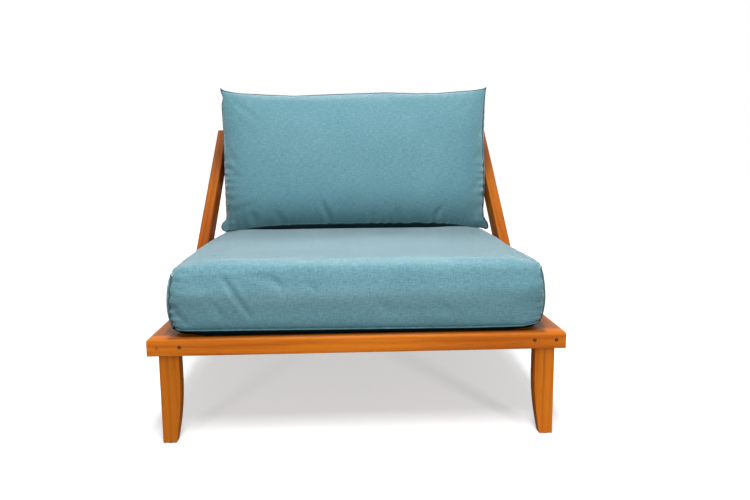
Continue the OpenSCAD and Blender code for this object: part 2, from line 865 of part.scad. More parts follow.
// Crowned pillow with pointed corners, flat where it leans and where it stands
module back_form() {
    low = back_stand - back_z;
    pts = concat(
        [[0, 0, -back_rear_t]],
        [for (r = back_rings) for (e = unit_edge)
            let (p = puff_point(e, r[0], r[1]))
            [p.x, max(p.y, low), r[2]]],
        [[0, 0, back_front_t]]
    );
    translate([back_x, back_y, back_z]) rotate([90, 0, 0])
        polyhedron(pts, skin_faces(len(unit_edge), len(back_rings)));
}

// Fibre filling inside the cover
module back_block(gap) {
    size = [fill_shares[0] * back_w - 2 * gap, fill_shares[1] * back_h - 2 * gap];
    front = fill_depth_shares[0] * back_front_t - gap;
    rear = fill_depth_shares[1] * back_rear_t - gap;
    translate([back_x, back_y + rear, back_z]) rotate([90, 0, 0])
        linear_extrude(front + rear) square(size, center = true);
}

module back_cover() {
    color(cloth) difference() {
        back_form();
        back_block(0);
    }
}

module back_fill() {
    color(foam) back_block(bore_gap);
}

// Zip tape and teeth on a rear face at the origin, running along X
module zip_chain(l) {
    translate([-l / 2, 0, -tape_h / 2]) cube([l, tape_t, tape_h]);
    translate([-l / 2, tape_t, -teeth_h / 2]) cube([l, teeth_t, teeth_h]);
}

// Slider over the teeth at the zip's left end, with two ears and a pin for the puller
module zip_slider(l) {
    channel = [slider_l + 2 * overrun, teeth_t + zip_gap, teeth_h + 2 * zip_gap];
    translate([-l / 2, 0, 0]) {
        difference() {
            translate([0, tape_t + zip_gap, -slider_h / 2]) cube([slider_l, slider_t, slider_h]);
            translate([-overrun, tape_t, -channel.z / 2]) cube(channel);
        }
        for (s = [-1, 1]) {
            z = s * (slider_h - ear_h) / 2 - ear_h / 2;
            translate([(slider_l - ear_l) / 2, tape_t + zip_gap + slider_t, z])
                cube([ear_l, ear_l, ear_h]);
        }
        rod_z([slider_l / 2, pin_y, -slider_h / 2 + ear_h / 2], 2 * pull_pin_r, slider_h - ear_h);
    }
}

// Puller around the slider's pin, lying along the zip
module zip_puller(l) {
    h = slider_h - 2 * ear_h - 2 * zip_gap;
    eye_r = ear_l / 2 - zip_gap / 2;
    translate([(slider_l - l) / 2, pin_y, -h / 2]) difference() {
        union() {
            cylinder(r = eye_r, h = h);
            translate([0, -tape_t / 2, 0]) cube([puller_l, tape_t, h]);
        }
        translate([0, 0, -overrun]) cylinder(r = pull_pin_r + pin_gap, h = h + 2 * overrun);
    }
}

module seat_zip() {
    color(dark) translate([0, seat_rear_y, seat_z + seat_zip_z]) zip_chain(seat_w - 2 * zip_in);
}

module seat_zip_slider() {
    color(steel) translate([0, seat_rear_y, seat_z + seat_zip_z]) zip_slider(seat_w - 2 * zip_in);
}

module seat_zip_puller() {
    color(steel) translate([0, seat_rear_y, seat_z + seat_zip_z]) zip_puller(seat_w - 2 * zip_in);
}

module back_zip() {
    color(dark) translate([back_x, back_rear_y, zip_gap_z]) zip_chain(back_w - 2 * zip_in);
}

module back_zip_slider() {
    color(steel) translate([back_x, back_rear_y, zip_gap_z]) zip_slider(back_w - 2 * zip_in);
}

module back_zip_puller() {
    color(steel) translate([back_x, back_rear_y, zip_gap_z]) zip_puller(back_w - 2 * zip_in);
}

front_rail();
rear_rail();
side_board(-1);  // side_board_left
side_board(1);  // side_board_right
bearer(-1);  // bearer_left
bearer(1);  // bearer_right
bearer_centre();
for (i = [1:slat_n]) seat_slat(i);
leg(-1, -1);  // front_leg_left
leg(1, -1);  // front_leg_right
leg(-1, 1);  // rear_leg_left
leg(1, 1);  // rear_leg_right
foot_glides();
leg_hanger_bolts();
leg_inserts();
leg_dowels();
rail_screws();
rail_plugs();
bearer_screws();
bearer_dowels();
seat_slat_screws();
brace(-1);  // brace_left
brace(1);  // brace_right
post(-1);  // post_left
post(1);  // post_right
for (i = [1:back_n]) back_slat(i);
brace_bolts();
brace_washers();
brace_nuts();
foot_bolts();
foot_inserts();
back_slat_screws();
seat_cover();
seat_foam();
seat_zip();
seat_zip_slider();
seat_zip_puller();
back_cover();
back_fill();
back_zip();
back_zip_slider();
back_zip_puller();
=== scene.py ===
"""Outdoor lounge chair: stained timber platform and braces with two loose, seamed cushions."""

import math

import bpy
import numpy as np
from mathutils import Matrix, Vector


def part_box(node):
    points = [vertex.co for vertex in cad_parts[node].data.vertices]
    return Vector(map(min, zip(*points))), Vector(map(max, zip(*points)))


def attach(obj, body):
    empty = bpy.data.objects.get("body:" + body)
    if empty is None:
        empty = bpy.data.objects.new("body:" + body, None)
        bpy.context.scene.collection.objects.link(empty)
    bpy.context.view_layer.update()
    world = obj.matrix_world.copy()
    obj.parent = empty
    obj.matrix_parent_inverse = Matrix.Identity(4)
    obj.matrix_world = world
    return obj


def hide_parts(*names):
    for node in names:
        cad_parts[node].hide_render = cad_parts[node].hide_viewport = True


bl_info = {
    "name": "Outdoor lounge chair",
    "version": (1, 0, 0),
    "blender": (4, 5, 0),
    "location": "View3D > Sidebar > Chair",
    "description": "Dresses the timber chair and makes its cushions, zips and studio",
    "category": "Add Mesh",
}

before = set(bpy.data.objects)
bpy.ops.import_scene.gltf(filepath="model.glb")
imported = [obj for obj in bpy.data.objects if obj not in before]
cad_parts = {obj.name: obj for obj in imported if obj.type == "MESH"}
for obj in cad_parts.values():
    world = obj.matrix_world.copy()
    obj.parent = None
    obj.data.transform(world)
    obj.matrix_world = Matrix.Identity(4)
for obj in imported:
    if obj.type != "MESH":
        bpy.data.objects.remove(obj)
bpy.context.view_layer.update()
MM = 0.001
TWO_PI = 2 * math.pi
QUARTER = math.pi / 2

# Frames of the cloth simulation, sides of a turned edge and width of the camera's sensor in millimetres
SIM_FRAMES = 20
WELT_SIDES = 8
SENSOR_WIDTH = 36.0

# Places of a colour mix's sockets: factor, first colour, second colour, result
MIX_FACTOR, MIX_FIRST, MIX_SECOND, MIX_RESULT = 0, 6, 7, 2

# Middle of the growth rings, seen from the middle of a board, and how far slow noise bends them
RING_CENTRE = (0.13, 0.05)
RING_BEND = (0.035, 0.02)

# Distances from the chair's middle between which the floor turns white for the camera, and the floor's reach
FLOOR_FADE = (0.75, 2.2)
FLOOR_REACH = 12.0

SEAT_LOW, SEAT_HIGH = (np.array(corner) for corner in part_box("seat_cover"))
BACK_LOW, BACK_HIGH = (np.array(corner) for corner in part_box("back_cover"))
SEAT_ZIP_Z = sum(corner.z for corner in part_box("seat_zip")) / 2


def metres(name, description, default):
    """A length that the user can set."""
    return bpy.props.FloatProperty(
        name=name, description=description, default=default, subtype="DISTANCE", unit="LENGTH", precision=4
    )


def share(name, description, default, highest=1.0):
    """A plain number that the user can set."""
    return bpy.props.FloatProperty(name=name, description=description, default=default, min=0.0, max=highest)


def colour(name, description, default):
    """A linear colour that the user can set."""
    return bpy.props.FloatVectorProperty(
        name=name, description=description, default=default, subtype="COLOR", size=3, min=0.0, max=1.0
    )


class ChairTimber(bpy.types.PropertyGroup):
    """Colours and grain of the stained timber."""

    light: colour("Light stain", "Colour of the pale wood between the growth rings", (0.56, 0.153, 0.0070))
    dark: colour("Dark stain", "Colour of the dark growth rings", (0.315, 0.063, 0.0022))
    plug: colour("Plug", "Colour of the plugs' end grain", (0.085, 0.022, 0.006))
    plug_pale: colour("Pale plug", "Colour of the plugs that took less stain", (0.36, 0.085, 0.012))
    ring_gap: metres("Ring gap", "Distance between two growth rings", 0.012)
    brace_angle: bpy.props.FloatProperty(
        name="Brace angle", description="Slope of the side braces", default=math.radians(41), subtype="ANGLE"
    )


class ChairCloth(bpy.types.PropertyGroup):
    """Colours and threads of the cushions' fabric."""

    light: colour("Light thread", "Colour of the pale slubs", (0.130, 0.280, 0.323))
    dark: colour("Dark thread", "Colour of the dark slubs", (0.053, 0.178, 0.216))
    thread: metres("Thread", "Distance between two threads of the weave", 0.0012)
    slub: metres("Slub", "Length of a slub in the weave", 0.016)
    sheen: share("Sheen", "Strength of the fibres' soft sheen", 1.0)


class ChairCushions(bpy.types.PropertyGroup):
    """Sizes of the two cushions and of their making."""

    cell: metres("Cell", "Size of a cloth cell before the cushion is subdivided", 0.008)
    pressure: share("Pressure", "Pressure of the filling on the cloth", 4.0, 20.0)
    seat_swell: metres("Seat swell", "Most that the seat cushion's cloth may move", 0.003)
    back_swell: metres("Back swell", "Most that the back cushion's cloth may move", 0.010)
    seam_depth: metres("Seam depth", "Depth of the groove along a seam", 0.0016)
    welt: metres("Welt", "Radius of the turned edge in a seam", 0.0015)
    corner: metres("Corner", "Plan radius of the seat cushion's corners", 0.036)
    # Painted shade: the turned edges are darker cloth, for the shadow in the seams' grooves
    seam_painted_shade: share("Seam shade", "Brightness of the turned edges against the cloth", 0.5)


class ChairStage(bpy.types.PropertyGroup):
    """Floor, lamps and camera."""

    floor: colour("Floor", "Colour of the floor as the camera sees it", (0.70, 0.70, 0.70))
    bounce: colour("Bounce", "Colour of the floor for the light that it throws back", (0.27, 0.28, 0.29))
    glow: share("Floor glow", "Light that the camera sees on the floor near the chair", 0.50, 2.0)
    sky: share("Sky", "Strength of the even light from all sides", 0.16, 2.0)
    lens: bpy.props.FloatProperty(name="Lens", description="Focal length in millimetres", default=31.68)


PROPERTY_GROUPS = {
    "chair_timber": ChairTimber,
    "chair_cloth": ChairCloth,
    "chair_cushions": ChairCushions,
    "chair_stage": ChairStage,
}


class Value:
    """A shader number that Python's operators extend with Math nodes."""

    def __init__(self, shading, socket):
        self.shading, self.socket = shading, socket

    def math(self, operation, *values):
        return self.shading.node("ShaderNodeMath", {"operation": operation}, dict(enumerate(values)))

    def __add__(self, other):
        return self.math("ADD", self, other)

    def __sub__(self, other):
        return self.math("SUBTRACT", self, other)

    def __mul__(self, other):
        return self.math("MULTIPLY", self, other)

    def __pow__(self, other):
        return self.math("POWER", self, other)

    def sine(self):
        return self.math("SINE", self)

    def root(self):
        return self.math("SQRT", self)

    def between(self, low, high):
        """0 at low and 1 at high, smooth between them."""
        values = {"Value": self, "From Min": low, "From Max": high}
        return self.shading.node("ShaderNodeMapRange", {"interpolation_type": "SMOOTHSTEP"}, values)


class Shading:
    """A node tree and the few calls that fill it."""

    def __init__(self, tree):
        self.tree = tree

    def fill(self, node, values):
        """Links or sets each named socket of a node."""
        for key, value in values.items():
            if isinstance(value, Value):
                self.tree.links.new(value.socket, node.inputs[key])
            else:
                node.inputs[key].default_value = value

    def node(self, kind, settings=None, values=None, output=0):
        """Makes a node, sets it, fills its sockets and returns one of its outputs."""
        made = self.tree.nodes.new(kind)
        for key, value in (settings or {}).items():
            setattr(made, key, value)
        self.fill(made, values or {})
        return Value(self, made.outputs[output])

    def rays(self, kind):
        """1 for one kind of ray and 0 for the others."""
        return self.node("ShaderNodeLightPath", output=kind)

    def mix(self, factor, first, second):
        """Colour between two others."""
        values = {MIX_FACTOR: factor, MIX_FIRST: rgba(first), MIX_SECOND: rgba(second)}
        return self.node("ShaderNodeMix", {"data_type": "RGBA"}, values, MIX_RESULT)


class Finish(Shading):
    """One material with its surface shader."""

    def __init__(self, name, slot):
        self.slot = slot
        self.material = bpy.data.materials.new(name)
        self.material.use_nodes = True
        super().__init__(self.material.node_tree)
        self.tree.nodes.clear()
        self.shader = self.tree.nodes.new("ShaderNodeBsdfPrincipled")
        output = self.tree.nodes.new("ShaderNodeOutputMaterial")
        self.tree.links.new(self.shader.outputs[0], output.inputs[0])

    def set(self, **values):
        """Fills the surface shader's sockets, with _ for the spaces in their names."""
        self.fill(self.shader, {key.replace("_", " "): value for key, value in values.items()})

    def place(self, source="Object", turn=(0, 0, 0), scale=(1, 1, 1)):
        """Coordinates of the surface, turned and scaled."""
        start = self.node("ShaderNodeTexCoord", output=source)
        return self.node("ShaderNodeMapping", None, {"Vector": start, "Rotation": turn, "Scale": scale})

    def noise(self, vector, scale=1.0, detail=2.0, rough=0.5):
        values = {"Vector": vector, "Scale": scale, "Detail": detail, "Roughness": rough}
        return self.node("ShaderNodeTexNoise", None, values)

    def streaks(self, vector, scales, detail=2.0, rough=0.5):
        """Noise with a scale of its own along each axis."""
        stretched = self.node("ShaderNodeMapping", None, {"Vector": vector, "Scale": scales})
        return self.noise(stretched, 1.0, detail, rough)

    def parts(self, vector):
        """The three numbers of a vector."""
        made = self.tree.nodes.new("ShaderNodeSeparateXYZ")
        self.fill(made, {0: vector})
        return [Value(self, socket) for socket in made.outputs]

    def bump(self, height, distance):
        self.set(Normal=self.node("ShaderNodeBump", None, {"Height": height, "Distance": distance}))


def rgba(value):
    """A colour with its alpha, or a linked colour as it is."""
    return value if isinstance(value, Value) else (*value, 1.0)


def tinted(colours, tint):
    """Colours made lighter or darker by the tint."""
    return [[part * tint for part in stain] for stain in colours]


def timber_finish(name, turn, tint=1.0, painted_shade=None):
    """Stained wood whose grain runs along X before the turn. Rings are circles about a far axis, bent by
    slow noise; fibres and pores are noise drawn out along the grain."""
    look = bpy.context.scene.chair_timber
    finish = Finish(name, "stained_timber")
    wood = finish.place(turn=turn)
    along, across, depth = finish.parts(wood)
    ring_x = across + RING_CENTRE[0] + finish.streaks(wood, (2.4, 9.0, 9.0)) * RING_BEND[0]
    ring_z = depth + RING_CENTRE[1] + finish.streaks(wood, (1.1, 24.0, 24.0), 1.0) * RING_BEND[1]
    radius = (ring_x * ring_x + ring_z * ring_z).root()
    ring = (radius * (TWO_PI / look.ring_gap)).sine() * 0.5 + 0.5
    fibre = finish.streaks(wood, (5.0, 300.0, 300.0), 3.0, 0.6)
    pore = finish.streaks(wood, (28.0, 900.0, 900.0), 1.0).between(0.62, 0.72)
    tone = finish.streaks(wood, (1.3, 11.0, 11.0), 1.0)
    light, dark = tinted((look.light, look.dark), tint)
    wave = (along * 10.5 + 1.571).sine() * -0.2
    late = (ring ** 2.0) * 0.28 + (fibre - 0.5) * 0.8 + (tone - 0.5) * 1.2 + pore * 0.2 + wave + 0.3
    stain = finish.mix(late.between(0.0, 1.15), light, dark)
    # Painted shade: the stain darkens between two heights, within the reach of the middle, standing in for
    # shadow or less light
    if painted_shade:
        low, high, strength, reach = painted_shade
        x, _, up = finish.parts(finish.place())
        inside = (x * x * -1.0).between(-(reach**2), -((reach - 0.01) ** 2))
        stain = finish.mix(up.between(low, high) * inside * strength, stain, [part * 0.2 for part in dark])
    finish.set(
        Base_Color=stain,
        Roughness=fibre * 0.16 + 0.36,
        Specular_IOR_Level=0.12,
        Coat_Weight=0.01,
        Coat_Roughness=0.3,
    )
    finish.bump(fibre * 0.6 + pore * -0.5 + ring * 0.2, 0.00035)
    return finish


def plug_finish():
    """End grain of the plugs, paler at the rail's left end."""
    look = bpy.context.scene.chair_timber
    finish = Finish("plug_end_grain", "timber_plug")
    grain = finish.noise(finish.place(), 900.0, 2.0)
    along, _, _ = finish.parts(finish.place())
    pale = (along * -1.0).between(0.38, 0.40)
    finish.set(
        Base_Color=finish.mix(pale * 0.85 + grain * 0.15, look.plug, look.plug_pale),
        Roughness=0.55,
        Specular_IOR_Level=0.1,
    )
    finish.bump(grain, 0.0002)
    return finish


def metal_finish(name, slot, tint, rough):
    """Brushed or painted metal with faint streaks and a little grime."""
    finish = Finish(name, slot)
    streak = finish.noise(finish.place(scale=(60.0, 900.0, 900.0)), 1.0, 2.0)
    finish.set(
        Base_Color=finish.mix(streak * 0.35, tint, [part * 0.7 for part in tint]),
        Metallic=1.0,
        Roughness=streak * 0.2 + rough,
    )
    finish.bump(streak, 0.00005)
    return finish


def plastic_finish(name, slot, tint, rough):
    """Moulded plastic with a fine grain."""
    finish = Finish(name, slot)
    grain = finish.noise(finish.place(), 1500.0, 2.0)
    paler = [part * 1.3 for part in tint]
    finish.set(Base_Color=finish.mix(grain, tint, paler), Roughness=grain * 0.2 + rough)
    finish.bump(grain, 0.00008)
    return finish


def teeth_finish():
    """Zip tape and teeth: ribs across the zip every 1.6 mm, and a fine weave."""
    finish = Finish("zip_teeth", "zip_tape")
    along, _, up = finish.parts(finish.place())
    rib = (along * (TWO_PI / 0.0016)).sine() * 0.5 + 0.5
    weave = (up * (TWO_PI / 0.0009)).sine() * 0.5 + 0.5
    finish.set(
        Base_Color=finish.mix(rib * 0.7 + weave * 0.3, (0.012, 0.014, 0.016), (0.03, 0.034, 0.038)),
        Roughness=rib * -0.15 + 0.6,
    )
    finish.bump(rib + weave * 0.3, 0.0005)
    return finish


def cloth_finish(name, tint=1.0, contrast=1.0, gloss=1.0, painted_shades=()):
    """Heathered canvas on the piece's own UV map, in metres.
    Slubs are noise drawn out along the width, crossed by weaker ones; the weave is a product of two sines."""
    look = bpy.context.scene.chair_cloth
    finish = Finish(name, "cover_cloth")
    cloth = finish.place("UV")
    along, across, _ = finish.parts(cloth)
    run = 1.0 / look.slub
    slub = finish.streaks(cloth, (1.2 * run, 6.5 * run, 1.0), 2.0, 0.6)
    cross = finish.streaks(cloth, (6.5 * run, 1.2 * run, 1.0), 2.0, 0.6)
    heather = finish.noise(cloth, 420.0, 1.0)
    cloud = finish.noise(cloth, 7.0, 2.0)
    mixed = (slub - 0.5) * 1.5 + (cross - 0.5) * 1.1 + (heather - 0.5) * 0.9 + (cloud - 0.5) * 0.5 + 0.5
    warp = (along * (TWO_PI / look.thread)).sine()
    weft = (across * (TWO_PI / look.thread)).sine()
    light, dark = tinted((look.light, look.dark), tint)
    fabric = finish.mix(((mixed - 0.5) * contrast + 0.5).between(0.0, 1.0), dark, light)
    # Painted shade: between given heights the cloth darkens towards black, standing in for shadow; a step
    # with a strength below zero takes some of it back
    down = finish.parts(finish.place())[2] * -1.0
    steps = [down.between(-start, -end) * strength for start, end, strength in painted_shades]
    if steps:
        fabric = finish.mix(sum(steps[1:], steps[0]), fabric, [part * 0.08 for part in dark])
    finish.set(
        Base_Color=fabric,
        Roughness=slub * 0.1 + 0.42 + (1.0 - gloss) * 0.4,
        Specular_IOR_Level=0.4 * gloss,
        Sheen_Weight=look.sheen * gloss,
        Sheen_Roughness=0.3,
        Sheen_Tint=(0.88, 0.94, 1.0, 1.0),
    )
    finish.bump(warp * weft * 0.25 + slub * 0.8 + cross * 0.5 + heather * 0.3, 0.0005)
    return finish


# Painted shade on the cushions' cloth, standing in for shadow: on the seat cushion a band below its front
# fold, eased off further down, and on the back cushion towards its foot. Height where each starts, height
# where it is full, strength
BACK_PAINTED_SHADES = [(0.50, 0.375, 0.42)]
SEAT_PAINTED_SHADES = [(0.322, 0.296, 0.38), (0.292, 0.258, -0.20), (0.256, 0.240, -0.17)]

# Painted shade on the timber: on the rail's top edge under the seat cushion's front, for the cushion's
# shadow, and on the braces towards their tops, for less light there. Height where each starts, height where
# it is full, strength, reach from the middle
RAIL_PAINTED_SHADE = (0.2185, 0.2215, 0.6, 0.388)
BRACE_PAINTED_SHADE = (0.43, 0.61, 0.5, 1.0)


def dress(names, finish):
    """Gives CAD nodes a finish in place of their own."""
    for name in names:
        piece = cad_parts[name]
        piece.data.materials.clear()
        piece.data.materials.append(finish.material)


def numbered(stem):
    """The frame's nodes that are named with a number after the stem."""
    return sorted(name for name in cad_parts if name.startswith(stem) and name[len(stem) :].isdigit())


def grid_faces(ids):
    """Quads over a two-way grid of vertex numbers."""
    return np.stack([ids[:-1, :-1], ids[1:, :-1], ids[1:, 1:], ids[:-1, 1:]], -1).reshape(-1, 4)


def rim(ids):
    """The grid's border as one closed loop of vertex numbers, in the order front, right, rear, left."""
    return np.concatenate([ids[:-1, 0], ids[-1, :-1], ids[:0:-1, -1], ids[0, :0:-1]])


def edge_lines(half, edge, cell):
    """Places of grid lines from -half to half: eased edge insets, then even steps of about one cell."""
    inner = half - edge[-1]
    count = max(2, round(2 * inner / cell))
    middle = np.linspace(-inner, inner, count + 1)
    return np.concatenate([-(half - edge[:-1]), middle, (half - edge[:-1])[::-1]])


def shown_object(name, data):
    """A new object in the scene that shows the data."""
    made = bpy.data.objects.new(name, data)
    bpy.context.scene.collection.objects.link(made)
    return made


def make_piece(name, points, faces, uv, finish, body):
    """A mesh object at the origin with its own UV map, riding on a body."""
    mesh = bpy.data.meshes.new(name)
    mesh.from_pydata(points.tolist(), [], faces.tolist())
    layer = mesh.uv_layers.new(name="weave")
    layer.data.foreach_set("uv", uv.astype(np.float32).ravel())
    mesh.polygons.foreach_set("use_smooth", np.ones(len(faces), bool))
    mesh.materials.append(finish.material)
    piece = shown_object(name, mesh)
    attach(piece, body)
    return piece


def vertex_values(mesh, kind="co"):
    """The places or, with kind normal, the directions of a mesh's vertices."""
    values = np.zeros(len(mesh.vertices) * 3, np.float32)
    mesh.vertices.foreach_get(kind, values)
    return values.reshape(-1, 3).astype(float)


def set_vertices(mesh, points):
    mesh.vertices.foreach_set("co", points.astype(np.float32).ravel())
    mesh.update()


def relax(points, faces, held, rounds):
    """Moves each free point half of the way to the mean of its neighbours, a few times over."""
    edges = np.concatenate([faces[:, [0, 1]], faces[:, [1, 2]], faces[:, [2, 3]], faces[:, [3, 0]]])
    edges = np.concatenate([edges, edges[:, ::-1]])
    count = np.bincount(edges[:, 0], minlength=len(points))[:, None]
    free = np.ones(len(points), bool)
    free[held] = False
    for _ in range(rounds):
        mean = np.stack([np.bincount(edges[:, 0], points[edges[:, 1], i], len(points)) for i in range(3)], -1)
        points[free] += 0.5 * (mean / count - points)[free]
    return points


def inflate(piece, points, pinned, seams, reach, cap, slack):
    """Blows the piece up as cloth, pinned at some points and longer by the slack within the reach of its
    seams, and moves each point along its normal, as far as it went that way but by the cap at most."""
    away = near(points, points[seams], reach)
    loose = np.flatnonzero((away > 1 * MM) & (away < reach))
    rest = vertex_values(piece.data)
    for name, members in (("seams", pinned), ("gathers", loose)):
        piece.vertex_groups.new(name=name).add(members.tolist(), 1.0, "REPLACE")
    cloth = piece.modifiers.new("filling", "CLOTH")
    cloth.point_cache.frame_start, cloth.point_cache.frame_end = 1, SIM_FRAMES
    settings = cloth.settings
    settings.quality = 6
    settings.mass = 0.3
    settings.tension_stiffness = settings.compression_stiffness = 18
    settings.bending_stiffness = 0.4
    settings.effector_weights.gravity = 0
    settings.use_pressure = True
    settings.uniform_pressure_force = bpy.context.scene.chair_cushions.pressure
    settings.vertex_group_mass = "seams"
    settings.vertex_group_shrink = "gathers"
    settings.shrink_min, settings.shrink_max = 0.0, -slack
    for step in range(1, SIM_FRAMES + 1):
        bpy.context.scene.frame_set(step)
    shown = piece.evaluated_get(bpy.context.evaluated_depsgraph_get())
    moved = vertex_values(shown.data) - rest
    piece.modifiers.remove(cloth)
    piece.vertex_groups.clear()
    bpy.context.scene.frame_set(1)
    normals = vertex_values(piece.data, "normal")
    out = (moved * normals).sum(1, keepdims=True)
    set_vertices(piece.data, rest + normals * cap * np.tanh(out / cap))


def subdivide(piece):
    """One level of subdivision, applied."""
    modifier = piece.modifiers.new("smooth", "SUBSURF")
    modifier.levels = modifier.render_levels = 1
    shown = piece.evaluated_get(bpy.context.evaluated_depsgraph_get())
    mesh = bpy.data.meshes.new_from_object(shown)
    piece.modifiers.clear()
    old, piece.data = piece.data, mesh
    bpy.data.meshes.remove(old)
    mesh.name = piece.name


def segment_distance(places, start, end):
    """Distance of each place from a segment, and how far along it the place lies, from 0 to 1."""
    start, end = np.array(start), np.array(end)
    run = end - start
    t = np.clip((places - start) @ run / (run @ run), 0, 1)
    return np.linalg.norm(places - start - t[:, None] * run, axis=1), t


def ramp(value, start, end):
    """0 at the start and 1 at the end, even between them and level beyond."""
    return np.clip((value - start) / (end - start), 0, 1)


def read(place, table):
    """Value at a place, from a table of places and values in millimetres."""
    return np.interp(place, *(np.array(table).T * MM))


def creases(places, table):
    """Height of a table of creases: each is a valley along a segment with a soft ridge beside it, fading
    at both ends. A row holds the segment's start and end, then the depth and width, in millimetres."""
    height = np.zeros(len(places))
    for start, end, depth, width in table:
        away, t = segment_distance(places / MM, start, end)
        away = away / width
        fade = np.sin(np.pi * np.clip(t, 0.02, 0.98)) ** 0.6
        height += depth * MM * (0.25 * np.exp(-((away - 1.9) ** 2)) - np.exp(-(away**2))) * fade
    return height


def gathers(run, inset, gap, reach, seed):
    """Height of the gathers along a seam: narrow ridges square to it, uneven in place and strength,
    rising just inside the seam and dying away at the reach."""
    phase = run / gap + 0.9 * np.sin(run / gap * 0.37 + seed) + 0.6 * np.sin(run / gap * 0.83 + 2 * seed)
    strength = 0.55 + 0.45 * np.sin(run / gap * 0.29 + 3 * seed)
    rise = ramp(inset, 0, 0.25 * reach) * np.exp(-((inset / reach) ** 2))
    return np.sin(TWO_PI * phase) * strength * rise


def shifted(path, steps, closed):
    """Each point's neighbour some steps on; an open path stops at its ends."""
    ids = np.arange(len(path)) + steps
    return path[ids % len(path) if closed else np.clip(ids, 0, len(path) - 1)]


def welt_along(name, path, normals, radius, closed, finish, body):
    """A turned edge: a round profile carried along a path of points, with its own up along the cloth's
    normals. An open one is drawn to a point at both ends."""
    tangent = shifted(path, 1, closed) - shifted(path, -1, closed)
    tangent /= np.linalg.norm(tangent, axis=1, keepdims=True)
    side = np.cross(tangent, normals)
    side /= np.linalg.norm(side, axis=1, keepdims=True)
    up = np.cross(side, tangent)
    angle = TWO_PI * np.arange(WELT_SIDES) / WELT_SIDES
    ring = np.cos(angle)[None, :, None] * side[:, None] + np.sin(angle)[None, :, None] * up[:, None]
    size = np.full(len(path), radius)
    if not closed:
        size[[0, -1]] = 0.05 * radius
    points = (path[:, None] + size[:, None, None] * ring).reshape(-1, 3)
    first = np.arange(len(points)).reshape(-1, WELT_SIDES)
    second = np.roll(first, -1, 0) if closed else first[1:]
    first = first if closed else first[:-1]
    faces = np.stack([first, second, np.roll(second, -1, 1), np.roll(first, -1, 1)], -1).reshape(-1, 4)
    length = np.concatenate([[0], np.cumsum(np.linalg.norm(np.diff(path, axis=0), axis=1))])
    place = np.stack([np.repeat(length, WELT_SIDES), np.tile(radius * angle, len(path))], -1)
    return make_piece(name, points, faces, place[faces].reshape(-1, 2), finish, body)


